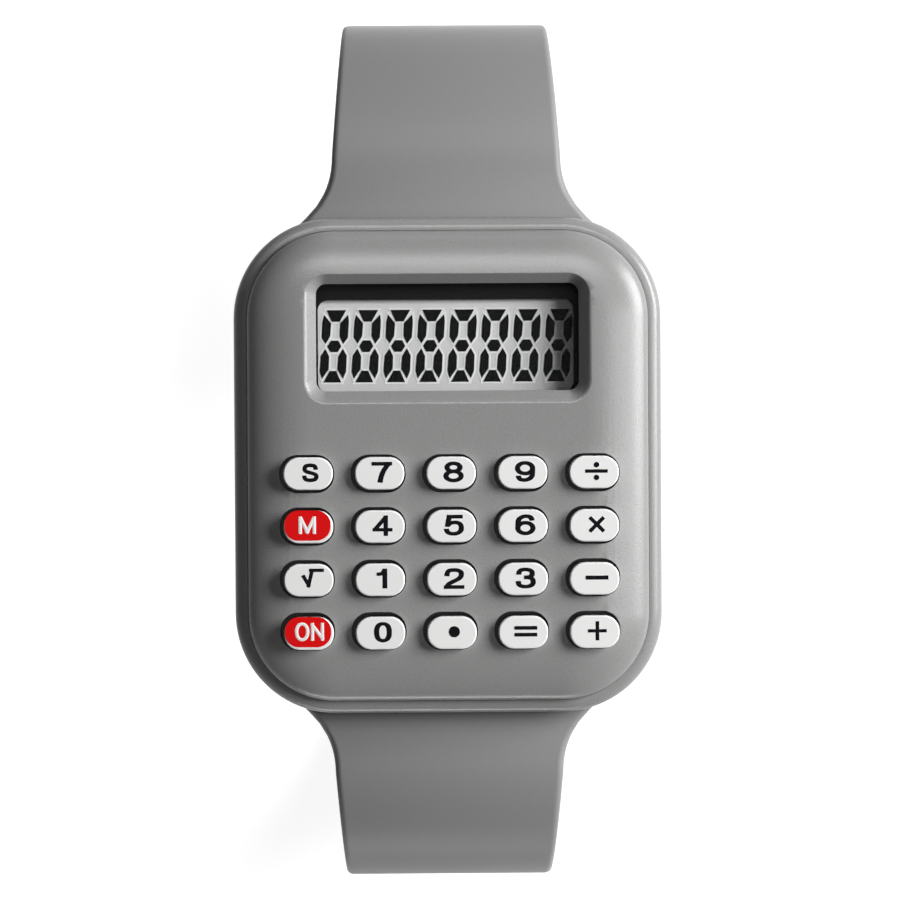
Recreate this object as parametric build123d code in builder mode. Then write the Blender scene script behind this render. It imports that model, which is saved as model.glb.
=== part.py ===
"""Calculator watch: a rounded case with a crowned cover, twenty keys, a display and two straps.

X runs from 9 to 3 o'clock, Y towards 12 o'clock and Z out of the display. The origin is the
centre of the case's back face, the face that lies on the wrist. Lengths are in millimetres.
"""

from build123d import *
from math import cos, radians, sin
import os

# Case outline and its levels above the back face
case_corner_radius = 9.4
frame_bottom_z = 0.8
rim_z = 9.4
frame_edge_radius = 1.0
frame_side_wall = 3.2
frame_end_wall = 3.9
slip_gap = 0.1
overrun = 1.0

# Front cover
cover_inset = 1.3
cover_seat_z = 7.4
cover_edge_z = 9.7
crown_width = 5.8
crown_height = 1.9
crown_steps = 5
cover_roof = 1.6
cover_side_wall = 1.2

# Display window, lens and liquid crystal cell
window_end_margin = 6.2
window_width = 24.5
window_height = 10.0
window_corner_radius = 0.85
bevel_width = 1.3
bevel_depth = 0.9
lens_border = 1.0
lens_thickness = 0.7
cell_border_x = 1.05
cell_border_y = 1.1
cell_thickness = 1.0
cell_drop = 0.4
reflector_thickness = 0.15
holder_wall = 0.9
holder_gap = 0.1
mask_left = 0.15
mask_right = 0.45
mask_top = 1.5
mask_bottom = -0.1
mask_corner_radius = 0.95
connector_width = 1.3

# Digits of the display
digit_count = 8
digit_side_margin = 0.29
digit_gap = 0.47
digit_end_margin = 1.62
digit_shift_x = -0.1
digit_shift_y = -0.8
digit_slant_share = 0.064
segment_thickness = 0.05
upper_bar_shares = [(-0.73, 1.0), (0.73, 1.0), (0.29, 0.68), (-0.29, 0.68)]
middle_bar_shares = [(-0.52, 0.0), (-0.27, 0.16), (0.27, 0.16), (0.52, 0.0), (0.27, -0.16), (-0.27, -0.16)]
lower_bar_shares = [(-0.24, -0.68), (0.24, -0.68), (0.66, -1.0), (-0.66, -1.0)]
upper_side_shares = [(0.89, 0.87), (0.98, 0.68), (0.97, 0.24), (0.65, 0.07), (0.35, 0.28), (0.33, 0.63)]
lower_side_shares = [(0.65, -0.07), (0.96, -0.26), (0.98, -0.7), (0.78, -0.9), (0.32, -0.63), (0.34, -0.28)]

# Keys
key_columns = 5
key_rows = 4
key_width = 4.58
key_height = 3.02
key_gap_x = 2.06
key_gap_y = 1.93
key_grid_x = 0.25
key_side_margin = 3.4
key_end_margin = 5.26
key_window_gap = 5.14
key_corner_radius = 1.42
key_edge_radius = 0.13
key_proud = 0.8
key_hole_gap = 0.24
flange_border_x = 0.55
flange_border_y = 0.5
flange_thickness = 0.6
flange_gap = 0.05
dome_radius = 1.35
dome_top_radius = 0.85
mat_thickness = 0.5
mat_border = 0.3

# Circuit board and what is soldered to it
board_thickness = 0.8
board_top_z = 7.6
board_gap = 0.2
chip_radius = 3.2
chip_height = 1.1
chip_side_margin = 7.6
chip_end_margin = 7.6
crystal_radius = 1.0
crystal_length = 6.2
crystal_side_margin = 9.6
crystal_end_margin = 4.6
component_length = 1.6
component_width = 0.9
component_height = 0.7
component_gap = 1.7
component_count = 4
component_x = 1.5
component_end_margin = 9.6

# Back shell, battery and battery door
back_inset = 1.2
back_thickness = 1.4
back_edge_radius = 0.4
liner_wall = 1.0
battery_radius = 10.0
battery_thickness = 2.5
battery_edge_radius = 0.2
battery_gap = 0.15
battery_end_gap = 2.35
well_wall = 0.8
door_thickness = 1.2
door_lip = 0.8
door_lip_thickness = 0.6
door_ear_reach = 2.8
door_ear_width = 3.6
door_ear_thickness = 1.0
contact_width = 2.6
contact_thickness = 0.2
contact_foot = 3.0
contact_run = 6.0

# Screws
screw_radius = 0.5
screw_head_radius = 1.0
screw_head_height = 0.5
screw_recess = 0.1
screw_length = 5.0
door_screw_length = 2.2
cross_width = 0.3
cross_depth = 0.25
screw_gap = 0.03
case_screw_margin = 1.4

# Strap hinges at the ends of the case
hinge_gap_y = 0.1
hinge_z = 4.7
barrel_radius = 2.2
barrel_gap = 0.3
lug_inner_x = 7.6
lug_width = 2.3
lug_radius = 1.5
lug_web_rise = 0.4
lug_gap = 0.15
lug_skin_gap = 0.2
lug_skin_back = 0.3
pin_radius = 0.75
pin_tip_radius = 0.4
pin_tip_length = 1.7
pin_gap = 0.05
chin_half_width = 11.0
chin_reach = 1.6
chin_gap = 0.1
chin_edge_radius = 0.4
groove_end_gap = 0.3

# Straps
strap_thickness = 2.4
strap_root_half_width = 10.75
strap_horizon_half_width = 9.72
strap_taper_half_width = 10.35
strap_end_half_width = 8.15
strap_taper_end_z = -30.0
flare_start = 5.6
flare_radius = 7.6
flare_angle = 55
shoulder_run = 2.2
bend_start = 5.1
buckle_arm_reach = 42.3
buckle_arm_curl_radius = 19.0
buckle_arm_bottom_z = -32.0
buckle_arm_end_y = 9.0
hole_arm_reach = 39.9
hole_arm_curl_radius = 21.0
hole_arm_bottom_z = -47.0
hole_arm_end_y = -13.0
strap_tip_radius = 6.5
strap_hole_radius = 1.15
strap_hole_pitch = 6.2
strap_hole_start = 9.0
flat_hole_count = 4
curl_hole_count = 3

# Buckle and keeper
knuckle_radius = 1.6
buckle_pin_radius = 0.7
buckle_side_gap = 0.3
buckle_arm_width = 1.6
buckle_thickness = 1.8
buckle_bar_distance = 8.6
buckle_bar_width = 1.8
buckle_corner_radius = 1.6
buckle_tail = 1.4
buckle_edge_radius = 0.35
bar_notch_depth = 0.5
bar_notch_gap = 0.2
press_gap = 0.01
tongue_half_width = 1.1
tongue_eye_radius = 1.45
tongue_thickness = 1.0
tongue_overhang = 0.8
tongue_tip_gap = 0.12
tongue_notch_gap = 0.25
tongue_notch_depth = 2.1
keeper_width = 5.0
keeper_wall = 1.3
keeper_gap = 0.25
keeper_distance = 4.4
keeper_corner_radius = 1.2

# Places and sizes that follow from the ones above: the case is as large as its keys and window need
key_pitch_x = key_width + key_gap_x
key_pitch_y = key_height + key_gap_y
case_width = key_columns * key_pitch_x + 2 * key_side_margin
case_length = (
    window_end_margin + window_height + key_window_gap + key_rows * key_pitch_y + key_end_margin
)
window_centre_y = case_length / 2 - window_end_margin - window_height / 2
key_grid_y = key_end_margin + key_rows * key_pitch_y / 2 - case_length / 2
cell_width = window_width + 2 * cell_border_x
cell_height = window_height + 2 * cell_border_y
digit_pitch = (window_width - 2 * digit_side_margin) / digit_count
digit_width = digit_pitch - digit_gap
digit_height = window_height - 2 * digit_end_margin
digit_centre_y = window_centre_y + digit_shift_y
face_z = cover_edge_z + crown_height
roof_z = face_z - cover_roof
lens_bottom_z = roof_z - lens_thickness
cell_top_z = lens_bottom_z - cell_drop
cell_bottom_z = cell_top_z - cell_thickness
board_bottom_z = board_top_z - board_thickness
flange_top_z = roof_z - flange_gap
flange_bottom_z = flange_top_z - flange_thickness
cover_width = case_width - 2 * cover_inset
cover_length = case_length - 2 * cover_inset
cover_corner_radius = case_corner_radius - cover_inset
opening_width = case_width - 2 * frame_side_wall
opening_length = case_length - 2 * frame_end_wall
opening_corner_radius = case_corner_radius - frame_end_wall
board_width = opening_width - 2 * board_gap
board_length = opening_length - 2 * board_gap
back_width = case_width - 2 * back_inset
back_length = case_length - 2 * back_inset
back_corner_radius = case_corner_radius - back_inset
hinge_y = case_length / 2 + hinge_gap_y
strap_top_z = hinge_z + barrel_radius
strap_root_bottom_z = hinge_z - barrel_radius
lug_outer_x = lug_inner_x + lug_width
flare_rise = flare_radius * (1 - cos(radians(flare_angle)))
flare_half_width = strap_root_half_width + flare_rise
buckle_pin_z = buckle_arm_bottom_z + strap_thickness / 2
well_radius = battery_radius + battery_gap
battery_y = well_radius + well_wall + battery_end_gap - opening_length / 2
corner_reach = (back_corner_radius - case_screw_margin) * sin(radians(45))
case_screw_x = case_width / 2 - case_corner_radius + corner_reach
case_screw_y = case_length / 2 - case_corner_radius + corner_reach
case_screw_places = [(x, y) for x in (-case_screw_x, case_screw_x) for y in (-case_screw_y, case_screw_y)]
door_screw_x = well_radius + door_lip + door_ear_reach / 2


def key_places():
    """Key centres, row by row from the upper left."""
    return [
        (
            key_grid_x + (column - (key_columns - 1) / 2) * key_pitch_x,
            key_grid_y - (row - (key_rows - 1) / 2) * key_pitch_y,
        )
        for row in range(key_rows)
        for column in range(key_columns)
    ]


def screw(x, y, length):
    """A cross-head screw driven upwards from the back, with its head sunk just below the face."""
    with BuildPart() as body:
        with Locations((x, y, screw_recess)):
            Cylinder(screw_head_radius, screw_head_height, align=(Align.CENTER, Align.CENTER, Align.MIN))
            Cylinder(screw_radius, length, align=(Align.CENTER, Align.CENTER, Align.MIN))
        with Locations((x, y, screw_recess + cross_depth / 2)):
            Box(cross_width, screw_head_radius, cross_depth, mode=Mode.SUBTRACT)
            Box(screw_head_radius, cross_width, cross_depth, mode=Mode.SUBTRACT)
    return body.part


def screw_seat(x, y):
    """A place on the back face that points a hole's tool upwards, into the case."""
    return Location((x, y, 0), (180, 0, 0))


def strap_arm(reach, curl_radius, bottom_z, end_y):
    """One strap on the +Y side: out from its hinge, down over a bend, then curled in to a flat end."""
    bend_y = hinge_y + bend_start
    bend_radius = reach - bend_y
    bend_z = strap_top_z - bend_radius
    curl_y = reach - curl_radius
    curl_z = bottom_z + curl_radius
    shoulder_y = hinge_y + shoulder_run
    with BuildPart() as arm:
        with BuildSketch(Plane.YZ):
            with BuildLine():
                Line((hinge_y, strap_top_z), (bend_y, strap_top_z))
                RadiusArc((bend_y, strap_top_z), (reach, bend_z), bend_radius)
                Line((reach, bend_z), (reach, curl_z))
                RadiusArc((reach, curl_z), (curl_y, bottom_z), curl_radius)
                Polyline(
                    (curl_y, bottom_z),
                    (end_y, bottom_z),
                    (end_y, bottom_z + strap_thickness),
                    (curl_y, bottom_z + strap_thickness),
                )
                RadiusArc(
                    (curl_y, bottom_z + strap_thickness),
                    (reach - strap_thickness, curl_z),
                    strap_thickness - curl_radius,
                )
                Line((reach - strap_thickness, curl_z), (reach - strap_thickness, bend_z))
                RadiusArc(
                    (reach - strap_thickness, bend_z),
                    (bend_y, strap_top_z - strap_thickness),
                    strap_thickness - bend_radius,
                )
                Polyline(
                    (bend_y, strap_top_z - strap_thickness),
                    (shoulder_y, strap_root_bottom_z),
                    (hinge_y, strap_root_bottom_z),
                )
                ThreePointArc(
                    (hinge_y, strap_root_bottom_z),
                    (hinge_y - barrel_radius, hinge_z),
                    (hinge_y, strap_top_z),
                )
            make_face()
        extrude(amount=flare_half_width, both=True)
        with BuildSketch(Plane.XY):
            with BuildLine():
                taper = Line(
                    (strap_horizon_half_width, reach),
                    (strap_root_half_width, hinge_y + flare_start),
                )
                flare = JernArc(taper @ 1, taper % 1, flare_radius, flare_angle)
                side = Line(flare @ 1, ((flare @ 1).X, end_y - overrun))
                Line(side @ 1, (0, end_y - overrun))
                Line(taper @ 0, (0, reach))
                mirror(about=Plane.YZ)
            make_face()
        extrude(amount=strap_top_z - bottom_z, both=True, mode=Mode.INTERSECT)
        with BuildSketch(Plane.XZ):
            with BuildLine():
                Polyline(
                    (0, strap_top_z),
                    (flare_half_width + overrun, strap_top_z),
                    (flare_half_width + overrun, strap_root_bottom_z),
                    (strap_taper_half_width, strap_root_bottom_z),
                    (strap_end_half_width, strap_taper_end_z),
                    (strap_end_half_width, bottom_z),
                    (0, bottom_z),
                )
                mirror(about=Plane.YZ)
            make_face()
        extrude(amount=reach + case_length, both=True, mode=Mode.INTERSECT)
        pocket_x = lug_inner_x - lug_gap
        pocket_width = lug_width + 2 * lug_gap
        skin_z = hinge_z + lug_radius + lug_skin_gap
        pocket_reach = lug_radius + 2 * lug_skin_gap
        for side_sign in (-1, 1):
            with Locations((side_sign * (pocket_x + pocket_width / 2), hinge_y + pocket_reach, skin_z)):
                Box(
                    pocket_width,
                    pocket_reach + 2 * barrel_radius,
                    2 * barrel_radius + overrun,
                    align=(Align.CENTER, Align.MAX, Align.MAX),
                    mode=Mode.SUBTRACT,
                )
            with Locations((side_sign * (pocket_x + pocket_width / 2), hinge_y - lug_skin_back, hinge_z)):
                Box(
                    pocket_width,
                    2 * barrel_radius,
                    2 * barrel_radius,
                    align=(Align.CENTER, Align.MAX, Align.MIN),
                    mode=Mode.SUBTRACT,
                )
        with BuildSketch(Plane.YZ):
            with Locations((hinge_y, hinge_z)):
                Circle(pin_radius + pin_gap)
        extrude(amount=lug_inner_x, both=True, mode=Mode.SUBTRACT)
    return arm.part


# Case frame: the grey middle of the case, with a seat for the cover, one for the back, and the
# lugs, grooves and stops of the two strap hinges in its ends
with BuildPart() as case_frame:
    with BuildSketch(Plane.XY.offset(frame_bottom_z)):
        RectangleRounded(case_width, case_length, case_corner_radius)
    extrude(amount=rim_z - frame_bottom_z)
    outer_edges = case_frame.edges().group_by(Axis.Z)
    fillet(outer_edges[0] + outer_edges[-1], frame_edge_radius)
    groove_radius = barrel_radius + barrel_gap
    chin_top_z = strap_root_bottom_z - chin_gap
    for end in (-1, 1):
        with BuildSketch(Plane.YZ):
            with Locations((end * hinge_y, hinge_z)):
                Circle(groove_radius)
        extrude(amount=flare_half_width + groove_end_gap, both=True, mode=Mode.SUBTRACT)
        with BuildSketch(Plane.XY.offset(frame_bottom_z)):
            with Locations((0, end * (case_length / 2 + chin_reach))):
                Rectangle(
                    2 * chin_half_width,
                    chin_reach + frame_end_wall - overrun,
                    align=(Align.CENTER, Align.MAX if end > 0 else Align.MIN),
                )
        extrude(amount=chin_top_z - frame_bottom_z)
        chin_edges = case_frame.edges().filter_by(Axis.X).sort_by(Axis.Y)
        fillet(chin_edges[-2:] if end > 0 else chin_edges[:2], chin_edge_radius)
        for side_sign in (-1, 1):
            with BuildSketch(Plane.YZ.offset(side_sign * (lug_inner_x + lug_width / 2))):
                with Locations((end * hinge_y, hinge_z)):
                    Circle(lug_radius)
                with Locations((end * hinge_y, hinge_z + lug_web_rise)):
                    Rectangle(
                        groove_radius + slip_gap,
                        groove_radius + lug_web_rise,
                        align=(Align.MAX if end > 0 else Align.MIN, Align.MAX),
                    )
            extrude(amount=lug_width / 2, both=True)
        with BuildSketch(Plane.YZ):
            with Locations((end * hinge_y, hinge_z)):
                Circle(pin_tip_radius + pin_gap)
        extrude(amount=lug_outer_x, both=True, mode=Mode.SUBTRACT)
    with BuildSketch(Plane.XY.offset(cover_seat_z)):
        RectangleRounded(
            cover_width + 2 * slip_gap, cover_length + 2 * slip_gap, cover_corner_radius + slip_gap
        )
    extrude(amount=rim_z - cover_seat_z, mode=Mode.SUBTRACT)
    with BuildSketch(Plane.XY.offset(frame_bottom_z)):
        RectangleRounded(
            back_width + 2 * slip_gap, back_length + 2 * slip_gap, back_corner_radius + slip_gap
        )
    extrude(amount=back_thickness - frame_bottom_z, mode=Mode.SUBTRACT)
    with BuildSketch(Plane.XY):
        RectangleRounded(opening_width, opening_length, opening_corner_radius)
    extrude(amount=rim_z, mode=Mode.SUBTRACT)
    with BuildSketch(Plane.XY):
        with Locations(*case_screw_places):
            Circle(screw_radius + screw_gap)
    extrude(amount=screw_recess + screw_length + slip_gap, mode=Mode.SUBTRACT)
case_frame.part.label = "case_frame"

# Front cover: a crowned shell whose edge rolls down to the frame, with the bevelled window and
# the key holes
with BuildPart() as front_cover:
    with BuildSketch(Plane.XY.offset(cover_seat_z)):
        RectangleRounded(cover_width, cover_length, cover_corner_radius)
    extrude(amount=cover_edge_z - cover_seat_z)
    for step in range(crown_steps + 1):
        turn = radians(90 * step / crown_steps)
        inset = crown_width * (1 - cos(turn))
        with BuildSketch(Plane.XY.offset(cover_edge_z + crown_height * sin(turn))):
            RectangleRounded(
                cover_width - 2 * inset, cover_length - 2 * inset, cover_corner_radius - inset
            )
    loft()
    with BuildSketch(Plane.XY.offset(cover_seat_z)):
        RectangleRounded(
            cover_width - 2 * cover_side_wall,
            cover_length - 2 * cover_side_wall,
            cover_corner_radius - cover_side_wall,
        )
    extrude(amount=roof_z - cover_seat_z, mode=Mode.SUBTRACT)
    for level, border in ((face_z, bevel_width), (face_z - bevel_depth, 0)):
        with BuildSketch(Plane.XY.offset(level)):
            with Locations((0, window_centre_y)):
                RectangleRounded(
                    window_width + 2 * border,
                    window_height + 2 * border,
                    window_corner_radius + border / 2,
                )
    loft(mode=Mode.SUBTRACT)
    with BuildSketch(Plane.XY.offset(roof_z)):
        with Locations((0, window_centre_y)):
            RectangleRounded(window_width, window_height, window_corner_radius)
        with Locations(*key_places()):
            RectangleRounded(
                key_width + 2 * key_hole_gap,
                key_height + 2 * key_hole_gap,
                key_corner_radius + key_hole_gap,
            )
    extrude(amount=cover_roof, mode=Mode.SUBTRACT)
front_cover.part.label = "front_cover"

# Display lens: a clear sheet bonded under the window
with BuildPart() as display_lens:
    with BuildSketch(Plane.XY.offset(lens_bottom_z)):
        with Locations((0, window_centre_y)):
            Rectangle(window_width + 2 * lens_border, window_height + 2 * lens_border)
    extrude(amount=lens_thickness)
display_lens.part.label = "display_lens"

# Display holder: a black tray on the board that carries the cell and masks its edges, cut to the
# cover's inside where it would reach its wall
with BuildPart() as display_holder:
    mask_x = (mask_left - mask_right) / 2
    mask_y = window_centre_y + (mask_bottom - mask_top) / 2
    with BuildSketch(Plane.XY.offset(board_top_z)):
        with Locations((0, window_centre_y)):
            Rectangle(
                cell_width + 2 * (slip_gap + holder_wall), cell_height + 2 * (slip_gap + holder_wall)
            )
    extrude(amount=lens_bottom_z - board_top_z)
    with BuildSketch(Plane.XY.offset(board_top_z)):
        with Locations((0, window_centre_y)):
            Rectangle(cell_width + 2 * slip_gap, cell_height + 2 * slip_gap)
    extrude(amount=cell_top_z - board_top_z, mode=Mode.SUBTRACT)
    with BuildSketch(Plane.XY.offset(cell_top_z)):
        with Locations((mask_x, mask_y)):
            RectangleRounded(
                window_width - mask_left - mask_right,
                window_height - mask_bottom - mask_top,
                mask_corner_radius,
            )
    extrude(amount=cell_drop, mode=Mode.SUBTRACT)
    with BuildSketch(Plane.XY.offset(board_top_z)):
        RectangleRounded(
            cover_width - 2 * (cover_side_wall + holder_gap),
            cover_length - 2 * (cover_side_wall + holder_gap),
            cover_corner_radius - cover_side_wall - holder_gap,
        )
    extrude(amount=lens_bottom_z - board_top_z, mode=Mode.INTERSECT)
display_holder.part.label = "display_holder"

# Liquid crystal cell: two glass plates, drawn as one
with BuildPart() as display_cell:
    with BuildSketch(Plane.XY.offset(cell_bottom_z)):
        with Locations((0, window_centre_y)):
            Rectangle(cell_width, cell_height)
    extrude(amount=cell_thickness - segment_thickness)
display_cell.part.label = "display_cell"

# Reflector: the light film behind the cell, between the two connector strips
with BuildPart() as display_reflector:
    with BuildSketch(Plane.XY.offset(cell_bottom_z - reflector_thickness)):
        with Locations((0, window_centre_y)):
            Rectangle(cell_width, cell_height - 2 * (connector_width + slip_gap))
    extrude(amount=reflector_thickness)
display_reflector.part.label = "display_reflector"

# Connector strips: striped rubber that joins the cell's edge pads to the board
with BuildPart() as connector_strips:
    with BuildSketch(Plane.XY.offset(board_top_z)):
        for edge_sign in (-1, 1):
            with Locations((0, window_centre_y + edge_sign * (cell_height - connector_width) / 2)):
                Rectangle(cell_width, connector_width)
    extrude(amount=cell_bottom_z - board_top_z)
connector_strips.part.label = "connector_strips"

# Display segments: seven dark bars for each of the eight digits, all switched on
with BuildPart() as display_segments:
    bars = [upper_bar_shares, middle_bar_shares, lower_bar_shares]
    for side_bar_shares in (upper_side_shares, lower_side_shares):
        bars.append(side_bar_shares)
        bars.append([(-across, up) for across, up in side_bar_shares])
    with BuildSketch(Plane.XY.offset(cell_top_z - segment_thickness)):
        for digit in range(digit_count):
            digit_x = digit_shift_x + (digit - (digit_count - 1) / 2) * digit_pitch
            for bar in bars:
                with BuildLine():
                    Polyline(
                        *[
                            (
                                digit_x + (across * digit_width + up * digit_slant_share * digit_height) / 2,
                                digit_centre_y + up * digit_height / 2,
                            )
                            for across, up in bar
                        ],
                        close=True,
                    )
                make_face()
    extrude(amount=segment_thickness)
display_segments.part.label = "display_segments"

# Keys: white caps through the cover, each with a flange that stops it under the roof
pieces = []
for number, place in enumerate(key_places()):
    row, column = divmod(number, key_columns)
    with BuildPart() as key:
        with BuildSketch(Plane.XY.offset(flange_bottom_z)):
            with Locations(place):
                RectangleRounded(
                    key_width + 2 * flange_border_x,
                    key_height + 2 * flange_border_y,
                    key_corner_radius + flange_border_y,
                )
        extrude(amount=flange_thickness)
        with BuildSketch(Plane.XY.offset(flange_top_z)):
            with Locations(place):
                RectangleRounded(key_width, key_height, key_corner_radius)
        extrude(amount=face_z + key_proud - flange_top_z)
        fillet(key.edges().group_by(Axis.Z)[-1], key_edge_radius)
    key_name = f"key_row{row + 1}_column{column + 1}"
    key.part.label = key_name
    pieces.append(key.part)

# Keypad mat: a rubber sheet on the board with a spring dome under every key
with BuildPart() as keypad_mat:
    mat_width = (key_columns - 1) * key_pitch_x + key_width + 2 * mat_border
    mat_length = (key_rows - 1) * key_pitch_y + key_height + 2 * mat_border
    with BuildSketch(Plane.XY.offset(board_top_z)):
        with Locations((key_grid_x, key_grid_y)):
            RectangleRounded(mat_width, mat_length, key_corner_radius)
    extrude(amount=mat_thickness)
    dome_height = flange_bottom_z - flange_gap - board_top_z - mat_thickness
    with Locations(*[(x, y, board_top_z + mat_thickness) for x, y in key_places()]):
        Cone(
            dome_radius, dome_top_radius, dome_height, align=(Align.CENTER, Align.CENTER, Align.MIN)
        )
keypad_mat.part.label = "keypad_mat"

# Circuit board, carried on the rim of the back shell
with BuildPart() as circuit_board:
    with BuildSketch(Plane.XY.offset(board_bottom_z)):
        RectangleRounded(board_width, board_length, opening_corner_radius - board_gap)
    extrude(amount=board_thickness)
circuit_board.part.label = "circuit_board"

# Chip: a bare die under a drop of black resin, a slice of a sphere against the board
with BuildPart() as chip_resin:
    ball_radius = (chip_radius**2 + chip_height**2) / (2 * chip_height)
    with Locations(
        (
            chip_side_margin - board_width / 2,
            board_length / 2 - chip_end_margin,
            board_bottom_z - chip_height + ball_radius,
        )
    ):
        Sphere(ball_radius)
    split(bisect_by=Plane.XY.offset(board_bottom_z), keep=Keep.BOTTOM)
chip_resin.part.label = "chip_resin"

# Quartz crystal: a small metal can lying under the board
with BuildPart() as quartz_crystal:
    with BuildSketch(Plane.YZ.offset(board_width / 2 - crystal_side_margin)):
        with Locations((board_length / 2 - crystal_end_margin, board_bottom_z - crystal_radius)):
            Circle(crystal_radius)
    extrude(amount=crystal_length / 2, both=True)
quartz_crystal.part.label = "quartz_crystal"

# Board components: a row of small resistors and capacitors under the board
with BuildPart() as board_components:
    with BuildSketch(Plane.XY.offset(board_bottom_z)):
        with Locations((component_x, board_length / 2 - component_end_margin)):
            with GridLocations(component_width + component_gap, 0, component_count, 1):
                Rectangle(component_width, component_length)
    extrude(amount=-component_height)
board_components.part.label = "board_components"

# Back shell: the plate on the wrist, with a liner that carries the board, the battery well, and
# seats for the battery door and the screws
with BuildPart() as back_shell:
    with BuildSketch(Plane.XY):
        RectangleRounded(back_width, back_length, back_corner_radius)
    extrude(amount=back_thickness)
    fillet(back_shell.edges().group_by(Axis.Z)[0], back_edge_radius)
    with BuildSketch(Plane.XY.offset(back_thickness)):
        for border, how in ((slip_gap, Mode.ADD), (slip_gap + liner_wall, Mode.SUBTRACT)):
            RectangleRounded(
                opening_width - 2 * border,
                opening_length - 2 * border,
                opening_corner_radius - border,
                mode=how,
            )
    extrude(amount=board_bottom_z - back_thickness)
    with BuildSketch(Plane.XY.offset(back_thickness)):
        with Locations((0, battery_y)):
            Circle(well_radius + well_wall)
        with Locations((door_screw_x, battery_y)):
            Circle(screw_head_radius + slip_gap)
    extrude(amount=battery_thickness)
    with BuildSketch(Plane.XY):
        with Locations((0, battery_y)):
            Circle(well_radius)
    extrude(amount=back_thickness + battery_thickness, mode=Mode.SUBTRACT)
    with BuildSketch(Plane.XY.offset(back_thickness)):
        with Locations((0, battery_y + battery_radius)):
            Rectangle(contact_width + 2 * slip_gap, 2 * (well_wall + battery_gap + slip_gap))
    extrude(amount=battery_thickness, mode=Mode.SUBTRACT)
    with BuildSketch(Plane.XY):
        with Locations((0, battery_y)):
            Circle(well_radius + door_lip + slip_gap)
    extrude(amount=door_lip_thickness, mode=Mode.SUBTRACT)
    with BuildSketch(Plane.XY):
        with Locations((door_screw_x, battery_y)):
            Rectangle(2 * (door_ear_reach + slip_gap), door_ear_width + 2 * slip_gap)
    extrude(amount=door_ear_thickness, mode=Mode.SUBTRACT)
    with BuildSketch(Plane.XY):
        with Locations((door_screw_x, battery_y)):
            Circle(screw_radius + screw_gap)
    extrude(amount=screw_recess + door_screw_length + slip_gap, mode=Mode.SUBTRACT)
    with Locations(*[screw_seat(x, y) for x, y in case_screw_places]):
        CounterBoreHole(
            screw_radius + slip_gap,
            screw_head_radius + slip_gap,
            screw_recess + screw_head_height,
            depth=back_thickness,
        )
back_shell.part.label = "back_shell"

# Battery: a flat coin cell
with BuildPart() as battery:
    with BuildSketch(Plane.XY.offset(door_thickness)):
        with Locations((0, battery_y)):
            Circle(battery_radius)
    extrude(amount=battery_thickness)
    fillet(battery.edges().group_by(Axis.Z)[0], battery_edge_radius)
battery.part.label = "battery"

# Battery door: a round lid with an ear for its screw
with BuildPart() as battery_door:
    with BuildSketch(Plane.XY):
        with Locations((0, battery_y)):
            Circle(well_radius + door_lip)
    extrude(amount=door_lip_thickness)
    with BuildSketch(Plane.XY):
        with Locations((door_screw_x, battery_y)):
            Rectangle(2 * door_ear_reach, door_ear_width)
    extrude(amount=door_ear_thickness)
    with BuildSketch(Plane.XY.offset(door_lip_thickness)):
        with Locations((0, battery_y)):
            Circle(well_radius - slip_gap)
    extrude(amount=door_thickness - door_lip_thickness)
    with Locations(screw_seat(door_screw_x, battery_y)):
        CounterBoreHole(
            screw_radius + slip_gap,
            screw_head_radius + slip_gap,
            screw_recess + screw_head_height,
            depth=door_ear_thickness,
        )
battery_door.part.label = "battery_door"

# Battery contacts: a leaf from the board down to the cell's inner face, and a strip that comes
# down through a slot in the well to the cell's edge
with BuildPart() as battery_contact_inner:
    battery_top_z = door_thickness + battery_thickness
    with BuildSketch(Plane.XZ.offset(-battery_y)):
        with BuildLine():
            Polyline(
                (-contact_run, board_bottom_z),
                (contact_foot - contact_run, board_bottom_z),
                (contact_foot - contact_run, board_bottom_z - contact_thickness),
                (contact_run - contact_foot, battery_top_z + contact_thickness),
                (contact_run, battery_top_z + contact_thickness),
                (contact_run, battery_top_z),
                (contact_run - contact_foot - contact_thickness, battery_top_z),
                (contact_foot - contact_run - contact_thickness, board_bottom_z - contact_thickness),
                (-contact_run, board_bottom_z - contact_thickness),
                close=True,
            )
        make_face()
    extrude(amount=contact_width / 2, both=True)
battery_contact_inner.part.label = "battery_contact_inner"

with BuildPart() as battery_contact_edge:
    edge_y = battery_y + battery_radius
    with BuildSketch(Plane.YZ):
        with BuildLine():
            Polyline(
                (edge_y, back_thickness + slip_gap),
                (edge_y, board_bottom_z),
                (edge_y + contact_foot, board_bottom_z),
                (edge_y + contact_foot, board_bottom_z - contact_thickness),
                (edge_y + contact_thickness, board_bottom_z - contact_thickness),
                (edge_y + contact_thickness, back_thickness + slip_gap),
                close=True,
            )
        make_face()
    extrude(amount=contact_width / 2, both=True)
battery_contact_edge.part.label = "battery_contact_edge"

# Screws: four hold the back to the frame, and one holds the battery door
case_screws = Compound(children=[screw(x, y, screw_length) for x, y in case_screw_places])
case_screws.label = "case_screws"
battery_door_screw = screw(door_screw_x, battery_y, door_screw_length)
battery_door_screw.label = "battery_door_screw"


def strap_pin(end):
    """A spring bar on the hinge line: a tube with a thinner tip at each end, held in the lugs."""
    with BuildPart() as pin:
        with BuildSketch(Plane.YZ):
            with Locations((end * hinge_y, hinge_z)):
                Circle(pin_radius)
        extrude(amount=lug_inner_x - lug_gap, both=True)
        with BuildSketch(Plane.YZ):
            with Locations((end * hinge_y, hinge_z)):
                Circle(pin_tip_radius)
        extrude(amount=lug_inner_x - lug_gap + pin_tip_length, both=True)
    return pin.part


strap_pin_top = strap_pin(1)
strap_pin_top.label = "strap_pin_top"
strap_pin_bottom = strap_pin(-1)
strap_pin_bottom.label = "strap_pin_bottom"

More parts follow.
